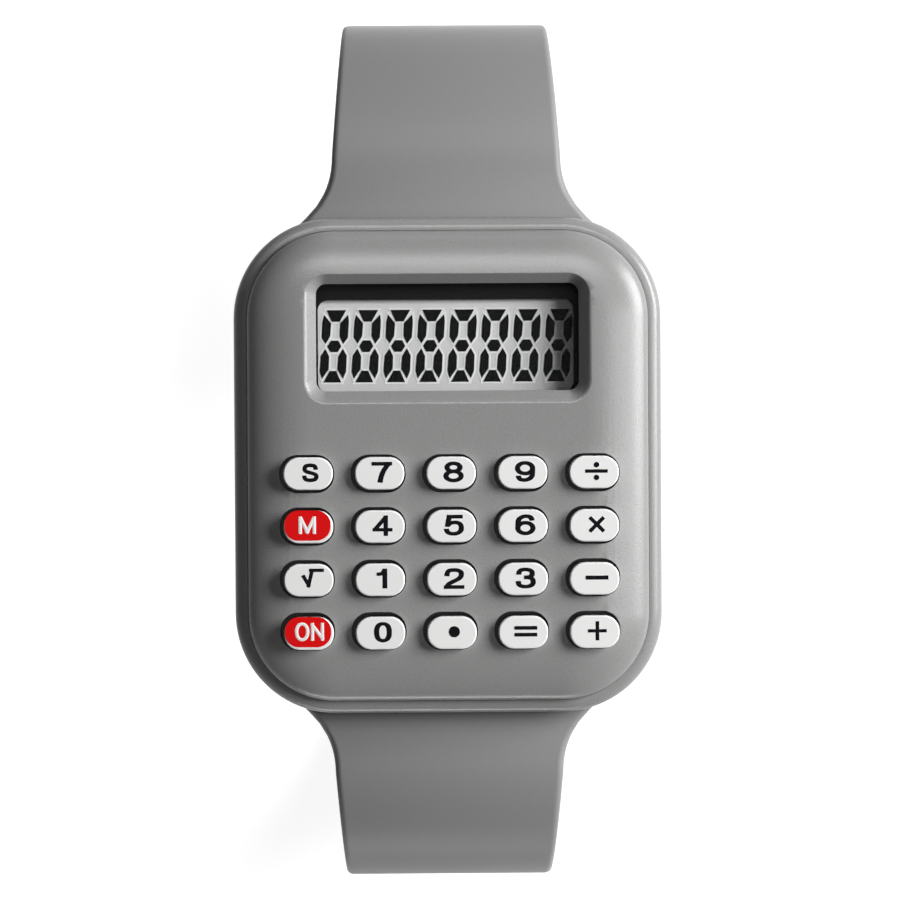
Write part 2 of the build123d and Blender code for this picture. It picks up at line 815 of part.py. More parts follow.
# Buckle strap, at 12 o'clock: its flat end carries a knuckle for the buckle's pin, slotted for
# the tongue
with BuildPart() as strap_buckle_side:
    add(strap_arm(buckle_arm_reach, buckle_arm_curl_radius, buckle_arm_bottom_z, buckle_arm_end_y))
    with BuildSketch(Plane.YZ):
        with Locations((buckle_arm_end_y, buckle_pin_z)):
            Circle(knuckle_radius)
    extrude(amount=strap_end_half_width, both=True)
    with BuildSketch(Plane.YZ):
        with Locations((buckle_arm_end_y, buckle_pin_z)):
            Circle(buckle_pin_radius + pin_gap)
    extrude(amount=strap_end_half_width, both=True, mode=Mode.SUBTRACT)
    with BuildSketch(Plane.XY.offset(buckle_pin_z)):
        with Locations((0, buckle_arm_end_y + tongue_notch_depth)):
            Rectangle(
                2 * (tongue_half_width + tongue_notch_gap),
                tongue_notch_depth + knuckle_radius,
                align=(Align.CENTER, Align.MAX),
            )
    extrude(amount=knuckle_radius, both=True, mode=Mode.SUBTRACT)
strap_buckle_side.part.label = "strap_buckle_side"

# Hole strap, at 6 o'clock: built on the +Y side and mirrored, with a round tip and a row of
# holes along its flat end and up its curl
with BuildPart() as hole_arm:
    add(strap_arm(hole_arm_reach, hole_arm_curl_radius, hole_arm_bottom_z, hole_arm_end_y))
    tip_edges = hole_arm.edges().filter_by(Axis.Z).sort_by(Axis.Y)[:2]
    fillet(tip_edges, strap_tip_radius)
    curl_centre_y = hole_arm_reach - hole_arm_curl_radius
    curl_centre_z = hole_arm_bottom_z + hole_arm_curl_radius
    for hole in range(flat_hole_count):
        with BuildSketch(Plane.XY.offset(hole_arm_bottom_z)):
            with Locations((0, hole_arm_end_y + strap_hole_start + hole * strap_hole_pitch)):
                Circle(strap_hole_radius)
        extrude(amount=strap_thickness, mode=Mode.SUBTRACT)
    flat_run = curl_centre_y - hole_arm_end_y - strap_hole_start
    for hole in range(flat_hole_count, flat_hole_count + curl_hole_count):
        turn = (hole * strap_hole_pitch - flat_run) / (hole_arm_curl_radius - strap_thickness / 2)
        outward = Vector(0, sin(turn), -cos(turn))
        centre = Vector(0, curl_centre_y, curl_centre_z)
        with BuildSketch(Plane(centre + outward * hole_arm_curl_radius, x_dir=(1, 0, 0), z_dir=outward)):
            Circle(strap_hole_radius)
        extrude(amount=strap_thickness, both=True, mode=Mode.SUBTRACT)
strap_hole_side = mirror(hole_arm.part, about=Plane.XZ)
strap_hole_side.label = "strap_hole_side"

# Keeper: a loop that slides on the buckle strap and holds the free end below it
with BuildPart() as strap_keeper:
    keeper_y = buckle_arm_end_y + keeper_distance
    loop_half_width = strap_end_half_width + keeper_gap
    loop_height = 2 * (strap_thickness + keeper_gap)
    loop_top_z = buckle_arm_bottom_z + strap_thickness + keeper_gap
    with BuildSketch(Plane.XZ.offset(-keeper_y)):
        with Locations((0, loop_top_z + keeper_wall)):
            Rectangle(
                2 * (loop_half_width + keeper_wall),
                loop_height + 2 * keeper_wall,
                align=(Align.CENTER, Align.MAX),
            )
        fillet(vertices(), keeper_corner_radius)
        with Locations((0, loop_top_z)):
            Rectangle(
                2 * loop_half_width, loop_height, align=(Align.CENTER, Align.MAX), mode=Mode.SUBTRACT
            )
    extrude(amount=-keeper_width)
strap_keeper.part.label = "strap_keeper"

# Buckle frame: two arms on the pin, joined by a bar with a notch for the tongue's tip
with BuildPart() as buckle_frame:
    arm_inner_x = strap_end_half_width + buckle_side_gap
    frame_half_width = arm_inner_x + buckle_arm_width
    bar_near_y = buckle_arm_end_y - buckle_bar_distance
    bar_far_y = bar_near_y - buckle_bar_width
    with BuildSketch(Plane.XY.offset(buckle_pin_z)):
        with Locations((0, bar_far_y)):
            Rectangle(
                2 * frame_half_width,
                buckle_arm_end_y + buckle_tail - bar_far_y,
                align=(Align.CENTER, Align.MIN),
            )
        fillet(vertices().sort_by(Axis.Y)[:2], buckle_corner_radius)
        with Locations((0, bar_near_y)):
            Rectangle(
                2 * arm_inner_x,
                buckle_bar_distance + buckle_tail,
                align=(Align.CENTER, Align.MIN),
                mode=Mode.SUBTRACT,
            )
    extrude(amount=buckle_thickness / 2, both=True)
    fillet(buckle_frame.edges().filter_by(Axis.Y), buckle_edge_radius)
    with BuildSketch(Plane.YZ):
        with Locations((buckle_arm_end_y, buckle_pin_z)):
            Circle(buckle_pin_radius + press_gap)
    extrude(amount=frame_half_width, both=True, mode=Mode.SUBTRACT)
    with Locations((0, bar_near_y, buckle_pin_z - buckle_thickness / 2 + bar_notch_depth)):
        Box(
            2 * (tongue_half_width + bar_notch_gap),
            buckle_bar_width,
            bar_notch_depth,
            align=(Align.CENTER, Align.MAX, Align.MAX),
            mode=Mode.SUBTRACT,
        )
buckle_frame.part.label = "buckle_frame"

# Buckle pin: pressed into both arms, with the strap's knuckle and the tongue free on it
with BuildPart() as buckle_pin:
    with BuildSketch(Plane.YZ):
        with Locations((buckle_arm_end_y, buckle_pin_z)):
            Circle(buckle_pin_radius)
    extrude(amount=frame_half_width - press_gap, both=True)
buckle_pin.part.label = "buckle_pin"

# Buckle tongue: an eye on the pin and a bar that slants down to lie in the notch
with BuildPart() as buckle_tongue:
    notch_z = buckle_pin_z - buckle_thickness / 2 + bar_notch_depth
    tongue_top_z = notch_z - tongue_tip_gap
    tip_y = bar_far_y - tongue_overhang
    with BuildSketch(Plane.YZ):
        with Locations((buckle_arm_end_y, buckle_pin_z)):
            Circle(tongue_eye_radius)
        with BuildLine():
            Polyline(
                (buckle_arm_end_y, buckle_pin_z + tongue_thickness / 2),
                (bar_near_y + tongue_thickness, tongue_top_z),
                (tip_y, tongue_top_z),
                (tip_y, tongue_top_z - tongue_thickness / 2),
                (bar_near_y, tongue_top_z - tongue_thickness),
                (buckle_arm_end_y, buckle_pin_z - tongue_thickness / 2),
                close=True,
            )
        make_face()
        with Locations((buckle_arm_end_y, buckle_pin_z)):
            Circle(buckle_pin_radius + pin_gap, mode=Mode.SUBTRACT)
    extrude(amount=tongue_half_width, both=True)
buckle_tongue.part.label = "buckle_tongue"

pieces += [
    case_frame.part,
    front_cover.part,
    display_lens.part,
    display_holder.part,
    display_cell.part,
    display_reflector.part,
    connector_strips.part,
    display_segments.part,
    keypad_mat.part,
    circuit_board.part,
    chip_resin.part,
    quartz_crystal.part,
    board_components.part,
    back_shell.part,
    battery.part,
    battery_door.part,
    battery_contact_inner.part,
    battery_contact_edge.part,
    case_screws,
    battery_door_screw,
    strap_pin_top,
    strap_pin_bottom,
    strap_buckle_side.part,
    strap_hole_side,
    strap_keeper.part,
    buckle_frame.part,
    buckle_pin.part,
    buckle_tongue.part,
]
os.makedirs("parts", exist_ok=True)
for piece in pieces:
    export_step(piece, f"parts/{piece.label}.step")
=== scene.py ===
"""Calculator watch, unbuckled and standing on its longer strap, seen from straight above."""

from math import cos, pi, radians, sin, sqrt, tan

import bpy
from mathutils import Matrix, Vector


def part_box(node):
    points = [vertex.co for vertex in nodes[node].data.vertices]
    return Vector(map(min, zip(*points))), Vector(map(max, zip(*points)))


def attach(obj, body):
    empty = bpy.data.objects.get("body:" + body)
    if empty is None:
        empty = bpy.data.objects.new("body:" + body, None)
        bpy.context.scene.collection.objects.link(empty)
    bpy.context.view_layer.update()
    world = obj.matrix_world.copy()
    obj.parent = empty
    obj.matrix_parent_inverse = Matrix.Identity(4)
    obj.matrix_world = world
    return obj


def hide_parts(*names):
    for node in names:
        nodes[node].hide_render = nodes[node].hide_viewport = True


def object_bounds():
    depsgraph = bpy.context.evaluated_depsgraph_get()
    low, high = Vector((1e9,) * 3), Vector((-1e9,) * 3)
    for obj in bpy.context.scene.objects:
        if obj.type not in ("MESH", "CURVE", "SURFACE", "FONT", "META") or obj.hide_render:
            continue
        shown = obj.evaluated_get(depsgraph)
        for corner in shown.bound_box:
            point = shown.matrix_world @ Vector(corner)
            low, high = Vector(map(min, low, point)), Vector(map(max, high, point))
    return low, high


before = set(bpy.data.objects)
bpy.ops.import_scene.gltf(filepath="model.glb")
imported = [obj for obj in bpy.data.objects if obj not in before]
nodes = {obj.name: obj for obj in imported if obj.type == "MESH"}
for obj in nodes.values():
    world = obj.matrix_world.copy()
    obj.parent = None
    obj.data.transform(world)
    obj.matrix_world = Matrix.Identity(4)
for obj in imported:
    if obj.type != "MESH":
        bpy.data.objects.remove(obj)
cad_low, cad_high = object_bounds()
mm = 0.001

# Camera: a long lens straight above the watch, a little to its upper left, and turned by a third of
# a degree, as the straps lean. The photograph is 900 pixels wide and high, and places in it are
# named in pixels.
photo_side = 900
case_centre_px = (448, 465.5)
lens_foot_px = (410, 350)
pixels_per_mm = 10.7
camera_distance = 390 * mm
camera_roll = radians(0.35)
near_limit = 10 * mm
sensor_width = 36
case_top_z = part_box("case_frame")[1].z


def photo_point(across, down, height):
    """The point at that height that the photograph shows at that pixel."""
    return Vector((
        (across - case_centre_px[0]) / pixels_per_mm * mm,
        (case_centre_px[1] - down) / pixels_per_mm * mm,
        height,
    ))


target = photo_point(photo_side / 2, photo_side / 2, case_top_z)
camera_place = photo_point(*lens_foot_px, case_top_z + camera_distance)
backwards = (camera_place - target).normalized()
leaning = Vector((cos(camera_roll), -sin(camera_roll), 0))
rightwards = leaning.cross(backwards).cross(-backwards).normalized()
upwards = backwards.cross(rightwards)
bpy.ops.object.camera_add(location=camera_place)
camera = bpy.context.object
camera.rotation_euler = Matrix((rightwards, upwards, backwards)).transposed().to_euler()
camera.data.sensor_width = sensor_width
camera.data.lens = sensor_width * pixels_per_mm * camera_distance / mm / photo_side
camera.data.clip_start = near_limit
bpy.context.scene.camera = camera

# Floor and light: a white sheet under the watch, one large soft lamp at the right that leaves the
# left side dark, two weak ones behind and in front, two strips that only glint, and a pale room
floor_size = 6.0
floor_white = 0.35
floor_roughness = 0.9
floor_gloss = 0.1
shown_level = 0.9
room_level = 0.02
plain_white = (1, 1, 1, 1)
# Places and sizes in metres, power in watts
lamps = {
    "key_lamp": {"place": (0.447, 0.137, 0.249), "size": (0.30, 0.26), "power": 5.5},
    "back_lamp": {"place": (0.05, 0.45, 0.20), "size": (0.20, 0.10), "power": 0.10},
    "front_lamp": {"place": (-0.05, -0.53, -0.015), "size": (0.30, 0.05), "power": 1.0},
    "top_strip": {"place": (0.019, 0.215, 0.484), "size": (0.30, 0.03), "power": 1.2, "gloss_only": True},
    "side_strip": {"place": (0.307, 0.0, 0.432), "size": (0.04, 0.34), "power": 1.1, "gloss_only": True},
}


def lamp(name, place, size, power, gloss_only=False):
    """A soft rectangular lamp that points at the middle of the watch, or one that only glints in it."""
    bpy.ops.object.light_add(type="AREA", location=place)
    light = bpy.context.object
    light.name = name
    light.data.shape = "RECTANGLE"
    light.data.size, light.data.size_y = size
    light.data.energy = power
    light.rotation_euler = (-Vector(place)).to_track_quat("-Z", "Y").to_euler()
    light.visible_diffuse = not gloss_only


def mapped(tree, value, start, end, low, high):
    """The value, turned from the range start to end into the range low to high."""
    turned = tree.nodes.new("ShaderNodeMapRange")
    turned.inputs["From Min"].default_value = start
    turned.inputs["From Max"].default_value = end
    turned.inputs["To Min"].default_value = low
    turned.inputs["To Max"].default_value = high
    tree.links.new(value, turned.inputs["Value"])
    return turned.outputs["Result"]


def whitened(tree, low, high):
    """A strength that is high for what the camera, a gloss or clear plastic shows, and else low."""
    path = tree.nodes.new("ShaderNodeLightPath")
    shown = path.outputs["Is Camera Ray"]
    for ray in ("Is Glossy Ray", "Is Transmission Ray"):
        either = tree.nodes.new("ShaderNodeMath")
        either.operation = "MAXIMUM"
        tree.links.new(shown, either.inputs[0])
        tree.links.new(path.outputs[ray], either.inputs[1])
        shown = either.outputs[0]
    return mapped(tree, shown, 0, 1, low, high)


def shader_of(material):
    """The shader node that holds a material's colour and gloss."""
    return material.node_tree.nodes["Principled BSDF"]


def coat(piece, material):
    """Gives the whole piece this one material."""
    piece.data.materials.clear()
    piece.data.materials.append(material)


for lamp_name, setting in lamps.items():
    lamp(lamp_name, **setting)

room = bpy.data.worlds.new("room")
bpy.context.scene.world = room
room.use_nodes = True
walls = room.node_tree.nodes["Background"]
walls.inputs["Color"].default_value = plain_white
room.node_tree.links.new(whitened(room.node_tree, room_level, shown_level), walls.inputs["Strength"])

bpy.ops.mesh.primitive_plane_add(size=floor_size, location=(0, 0, cad_low.z))
floor = bpy.context.object
floor.name = "floor"
sheet = bpy.data.materials.new("white_sheet")
sheet.use_nodes = True
sheet_nodes, sheet_links = sheet.node_tree.nodes, sheet.node_tree.links
paper = shader_of(sheet)
paper.inputs["Base Color"].default_value = (floor_white, floor_white, floor_white, 1)
paper.inputs["Roughness"].default_value = floor_roughness
paper.inputs["Specular IOR Level"].default_value = floor_gloss
paper.inputs["Emission Color"].default_value = plain_white
sheet_links.new(whitened(sheet.node_tree, 0, shown_level), paper.inputs["Emission Strength"])
# The sheet is clear from below, so that a view from there shows the back of the watch
one_way = sheet_nodes.new("ShaderNodeMixShader")
sheet_links.new(sheet_nodes.new("ShaderNodeNewGeometry").outputs["Backfacing"], one_way.inputs["Fac"])
sheet_links.new(paper.outputs["BSDF"], one_way.inputs[1])
sheet_links.new(sheet_nodes.new("ShaderNodeBsdfTransparent").outputs["BSDF"], one_way.inputs[2])
sheet_links.new(one_way.outputs["Shader"], sheet_nodes["Material Output"].inputs["Surface"])
coat(floor, sheet)
bpy.context.scene.view_settings.view_transform = "Standard"

# Front cover: one moulding in matt grey plastic, crowned all round, with a fine spark-eroded
# grain. The window has a wide bevel, and every edge that the mould leaves is slightly rounded.
cover_low, cover_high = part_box("front_cover")
lens_low, lens_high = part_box("display_lens")
seam_fill = 0.05 * mm
cover_width, cover_length = (side + 2 * seam_fill for side in (cover_high - cover_low).xy)
cover_corner = 8.1 * mm + seam_fill
cover_corner_steps = 20
cover_edge_rise = 2.3 * mm
crown_width = 5.8 * mm
crown_height = cover_high.z - cover_low.z - cover_edge_rise
crown_steps = 14
cover_wall = 1.2 * mm
window_width = 24.5 * mm
window_height = 10.0 * mm
window_corner = 0.95 * mm
window_corner_steps = 16
bevel_depth = 0.9 * mm
bevel_slope = radians(42)
mouth_roll = 0.7 * mm
mouth_steps = 6
window_centre = (lens_low + lens_high) / 2
key_rows, key_columns = 4, 5
key_places = [(row, column) for row in range(key_rows) for column in range(key_columns)]
key_width, key_height, key_corner = 4.58 * mm, 3.02 * mm, 1.42 * mm
# The holes stand a little off the keys, as the photograph shows: to the left, and gathered
# towards a line between the first and the second row
hole_gap = 0.27 * mm
hole_corner_steps = 8
hole_shift_x = -0.14 * mm
hole_spread_share = 0.988
gather_row_share = 0.6
overrun = 0.5 * mm
edge_rounding = 0.13 * mm
rounding_steps = 3
sharp_angle = radians(35)
rounded_crease = radians(60)
facing_limit = 0.9
grey_plastic = (0.25, 0.25, 0.248)
# What every moulded surface shares: the part of its range that a noise fills, how fine the grain
# is, the size of the clouds in the colour in millimetres, and how far the roughness wanders
noise_share = (0.1, 0.9)
grain_detail = 2.0
cloud_size = 14.0
roughness_reach = 0.02


def deselect():
    """Leaves nothing selected, so that an operator acts on the next new piece alone."""
    bpy.ops.object.select_all(action="DESELECT")


def take(piece):
    """Selects this piece alone and makes it the active one."""
    deselect()
    piece.select_set(True)
    bpy.context.view_layer.objects.active = piece


def rounded_slab(name, centre, size, corner, low, high, corner_steps=12):
    """A slab with upright rounded corners: a plane whose corners are bevelled, then extruded."""
    deselect()
    bpy.ops.mesh.primitive_plane_add(size=1, location=(centre[0], centre[1], low))
    slab = bpy.context.object
    slab.name = slab.data.name = name
    slab.scale = (size[0], size[1], 1)
    bpy.ops.object.transform_apply(location=True, rotation=False, scale=True)
    bpy.ops.object.mode_set(mode="EDIT")
    bpy.ops.mesh.select_all(action="SELECT")
    bpy.ops.mesh.bevel(affect="VERTICES", offset=corner, segments=corner_steps)
    bpy.ops.mesh.extrude_region_move(TRANSFORM_OT_translate={"value": (0, 0, high - low)})
    bpy.ops.mesh.select_all(action="SELECT")
    bpy.ops.mesh.normals_make_consistent(inside=False)
    bpy.ops.object.mode_set(mode="OBJECT")
    return slab


def select_facing(piece, direction):
    """Enters edit mode with only the faces selected that look along the direction."""
    take(piece)
    bpy.ops.object.mode_set(mode="EDIT")
    bpy.ops.mesh.select_mode(type="FACE")
    bpy.ops.mesh.select_all(action="DESELECT")
    bpy.ops.object.mode_set(mode="OBJECT")
    for face in piece.data.polygons:
        face.select = face.normal.dot(direction) > facing_limit
    bpy.ops.object.mode_set(mode="EDIT")


def inset_curved(steps, last_turn, inward, forward):
    """Insets the selected face along an arc: inward and forward give its place at each turn."""
    for step in range(steps):
        turn, next_turn = (last_turn * (step + ahead) / steps for ahead in (0, 1))
        bpy.ops.mesh.inset(
            thickness=inward(next_turn) - inward(turn),
            depth=forward(next_turn) - forward(turn),
            use_even_offset=True,
        )


def cut(piece, tool, operation="DIFFERENCE"):
    """Cuts the tool's shape out of the piece, or joins it on by UNION, and removes the tool."""
    take(piece)
    modifier = piece.modifiers.new("cut", "BOOLEAN")
    modifier.operation = operation
    modifier.solver = "EXACT"
    modifier.object = tool
    bpy.ops.object.modifier_apply(modifier="cut")
    bpy.data.objects.remove(tool)


def join(pieces):
    """Makes one mesh of the pieces, in the first one."""
    take(pieces[0])
    for piece in pieces:
        piece.select_set(True)
    bpy.ops.object.join()
    return pieces[0]


def round_edges(piece, radius):
    """Rounds the piece's sharp edges and lets the flat faces keep their own shading."""
    take(piece)
    bevel = piece.modifiers.new("rounding", "BEVEL")
    bevel.width = radius
    bevel.segments = rounding_steps
    bevel.limit_method = "ANGLE"
    bevel.angle_limit = sharp_angle
    bevel.miter_outer = "MITER_ARC"
    bpy.ops.object.modifier_apply(modifier="rounding")
    bpy.ops.object.shade_smooth_by_angle(angle=rounded_crease)
    weights = piece.modifiers.new("weights", "WEIGHTED_NORMAL")
    weights.keep_sharp = True
    bpy.ops.object.modifier_apply(modifier="weights")


def scaler(tree, factor):
    """A node that scales the colour at its first input by the factor."""
    scale = tree.nodes.new("ShaderNodeVectorMath")
    scale.operation = "SCALE"
    tree.links.new(factor, scale.inputs["Scale"])
    return scale


def moulded(name, colour, roughness=0.5, specular=0.35, grain=0.17, depth=0.012, mottle=0.05, cloud=0.015):
    """A moulded surface: its grain and depth are in millimetres, and its colour is a little uneven."""
    material = bpy.data.materials.new(name)
    material.use_nodes = True
    tree, shader = material.node_tree, shader_of(material)
    shader.inputs["Specular IOR Level"].default_value = specular
    place = tree.nodes.new("ShaderNodeTexCoord")

    def noise(size, detail):
        texture = tree.nodes.new("ShaderNodeTexNoise")
        texture.inputs["Scale"].default_value = 1 / (size * mm)
        texture.inputs["Detail"].default_value = detail
        tree.links.new(place.outputs["Object"], texture.inputs["Vector"])
        return texture.outputs["Fac"]

    def spread(value, middle, reach):
        return mapped(tree, value, *noise_share, middle - reach, middle + reach)

    fine, wide = noise(grain, grain_detail), noise(cloud_size, 0)
    mottled, clouded = scaler(tree, spread(fine, 1, mottle)), scaler(tree, spread(wide, 1, cloud))
    mottled.inputs[0].default_value = colour
    tree.links.new(mottled.outputs["Vector"], clouded.inputs[0])
    tree.links.new(clouded.outputs["Vector"], shader.inputs["Base Color"])
    tree.links.new(spread(fine, roughness, roughness_reach), shader.inputs["Roughness"])
    bump = tree.nodes.new("ShaderNodeBump")
    bump.inputs["Distance"].default_value = depth * mm
    tree.links.new(fine, bump.inputs["Height"])
    tree.links.new(bump.outputs["Normal"], shader.inputs["Normal"])
    return material


def key_body(row, column):
    """The name that a key's node and body share."""
    return f"key_row{row + 1}_column{column + 1}"


def key_centre(row, column):
    """The middle of a key, from its node."""
    low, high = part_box(key_body(row, column))
    return (low + high) / 2


case_plastic = moulded("case_plastic", grey_plastic, roughness=0.28)
cover = rounded_slab(
    "cover",
    (0, 0),
    (cover_width, cover_length),
    cover_corner,
    cover_low.z,
    cover_low.z + cover_edge_rise,
    cover_corner_steps,
)
select_facing(cover, Vector((0, 0, 1)))
inset_curved(
    crown_steps,
    pi / 2,
    lambda turn: crown_width * (1 - cos(turn)),
    lambda turn: crown_height * sin(turn),
)
bpy.ops.object.mode_set(mode="OBJECT")
cut(cover, rounded_slab(
    "cavity",
    (0, 0),
    (cover_width - 2 * cover_wall, cover_length - 2 * cover_wall),
    cover_corner - cover_wall,
    cover_low.z - overrun,
    lens_high.z,
))
slope_depth = bevel_depth - mouth_roll * (1 - cos(bevel_slope))
slope_width = slope_depth / tan(bevel_slope)
mouth = mouth_roll * sin(bevel_slope) + slope_width
window_tool = rounded_slab(
    "window_tool",
    window_centre,
    (window_width + 2 * mouth, window_height + 2 * mouth),
    window_corner + mouth,
    cover_high.z,
    cover_high.z + overrun,
    window_corner_steps,
)
select_facing(window_tool, Vector((0, 0, -1)))
inset_curved(
    mouth_steps,
    bevel_slope,
    lambda turn: mouth_roll * sin(turn),
    lambda turn: mouth_roll * (1 - cos(turn)),
)
bpy.ops.mesh.inset(thickness=slope_width, depth=slope_depth, use_even_offset=True)
bpy.ops.mesh.extrude_region_move(TRANSFORM_OT_translate={"value": (0, 0, lens_low.z - cover_high.z)})
bpy.ops.object.mode_set(mode="OBJECT")
cut(cover, window_tool)
gather_y = key_centre(0, 0).y + (key_centre(1, 0).y - key_centre(0, 0).y) * gather_row_share
hole_tools = []
for row, column in key_places:
    place = key_centre(row, column)
    place.x += hole_shift_x
    place.y = gather_y + (place.y - gather_y) * hole_spread_share
    hole_tools.append(rounded_slab(
        "hole_tool",
        place,
        (key_width + 2 * hole_gap, key_height + 2 * hole_gap),
        key_corner + hole_gap,
        lens_low.z,
        cover_high.z + overrun,
        hole_corner_steps,
    ))
cut(cover, join(hole_tools))
round_edges(cover, edge_rounding)
coat(cover, case_plastic)
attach(cover, "case")
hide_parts("front_cover")

# Case frame, back and battery door: mouldings in the same grey plastic as the cover, held together
# by screws from behind, and taken over from the construction with their rounded edges
def dress(material, *names):
    """Gives these construction nodes a material of their own."""
    for name in names:
        coat(nodes[name], material)


dress(case_plastic, "case_frame", "back_shell", "battery_door")

# Keys: glossy white caps whose flange holds them under the cover. Below the cover's face their colour is
# painted dark, as painted shade in the gaps round the caps. The M and ON keys have a red field printed on
# them that leaves a white rim, and every key has its sign printed in one pass of ink.
# The dark colour painted on the keys below the cover's face as painted shade, and how deep under the face
# it starts
painted_gap_shade_colour = (0.012, 0.012, 0.013)
painted_shade_depth = 0.12 * mm
cap_white = (0.86, 0.86, 0.853)
ink_black = (0.005, 0.005, 0.007)
ink_red = (0.74, 0.003, 0.004)
ink_white = (0.88, 0.87, 0.86)
field_width, field_height, field_corner = 4.28 * mm, 2.80 * mm, 1.30 * mm
field_shift = (-0.08 * mm, 0.15 * mm)
# The white letters on each red field, and how far to the right of its middle each one stands
field_letters = {
    "letter_m": [("letter_m", -0.02 * mm)],
    "on": [("letter_o", -0.56 * mm), ("letter_n", 0.86 * mm)],
}
letter_rise = 0.03 * mm
ink_thickness = 0.02 * mm
ink_crease = radians(50)
sign_shift = (0.22 * mm, 0.10 * mm)
sign_nudges = {"root": (0.17 * mm, 0.13 * mm), "one": (-0.12 * mm, 0.04 * mm)}
key_top_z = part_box(key_body(0, 0))[1].z
field_top_z = key_top_z + ink_thickness


def place_of(material):
    """Where a point lies in the watch's frame, as a moulded material reads it."""
    return material.node_tree.nodes["Texture Coordinate"].outputs["Object"]


def place_along(material, axis):
    """Where a point lies along one axis of the watch's frame."""
    axes = material.node_tree.nodes.new("ShaderNodeSeparateXYZ")
    material.node_tree.links.new(place_of(material), axes.inputs["Vector"])
    return axes.outputs[axis]


key_plastic = moulded(
    "key_plastic", cap_white, roughness=0.32, specular=0.3, depth=0.002, mottle=0.006, cloud=0.012
)
# From just under the cover's face downwards the keys are painted dark: painted shade in the gaps round the
# caps
key_tree, key_shader = key_plastic.node_tree, shader_of(key_plastic)
cap_colour = key_shader.inputs["Base Color"].links[0].from_socket
painted_shade_top_z = cover_high.z - painted_shade_depth
unshaded_share = mapped(key_tree, place_along(key_plastic, "Z"), painted_shade_top_z, painted_shade_top_z + ink_thickness, 0, 1)
painted_gap_shade = key_tree.nodes.new("ShaderNodeMix")
painted_gap_shade.data_type = "RGBA"
painted_gap_shade.inputs["A"].default_value = (*painted_gap_shade_colour, 1)
key_tree.links.new(unshaded_share, painted_gap_shade.inputs["Factor"])
key_tree.links.new(cap_colour, painted_gap_shade.inputs["B"])
key_tree.links.new(painted_gap_shade.outputs["Result"], key_shader.inputs["Base Color"])
black_print = moulded("black_print", ink_black, roughness=0.6, specular=0.03, grain=0.1, depth=0.002)
red_print = moulded("red_print", ink_red, roughness=0.4, specular=0.08, grain=0.1, depth=0.002, mottle=0.02)
white_print = moulded("white_print", ink_white, roughness=0.4, grain=0.1, depth=0.002, mottle=0.01)
dress(key_plastic, *[key_body(row, column) for row, column in key_places])

# A sign is drawn with a pen: strokes of points in a square of one by one, whose sides are the
# sign's outer edges. A "bent" stroke is a smooth curve and a "ring" a closed one, a "line" is
# straight from point to point, and a "dot" is a round spot.
def oval(across, up, lift=0, square=0.42):
    """The eight corners that a closed smooth stroke needs to run as an oval, clockwise."""
    quarter = [(square * across, up), (across, square * up)]
    half = quarter + [(x, -y) for x, y in reversed(quarter)]
    return [(x, y + lift) for x, y in half + [(-x, -y) for x, y in half]]


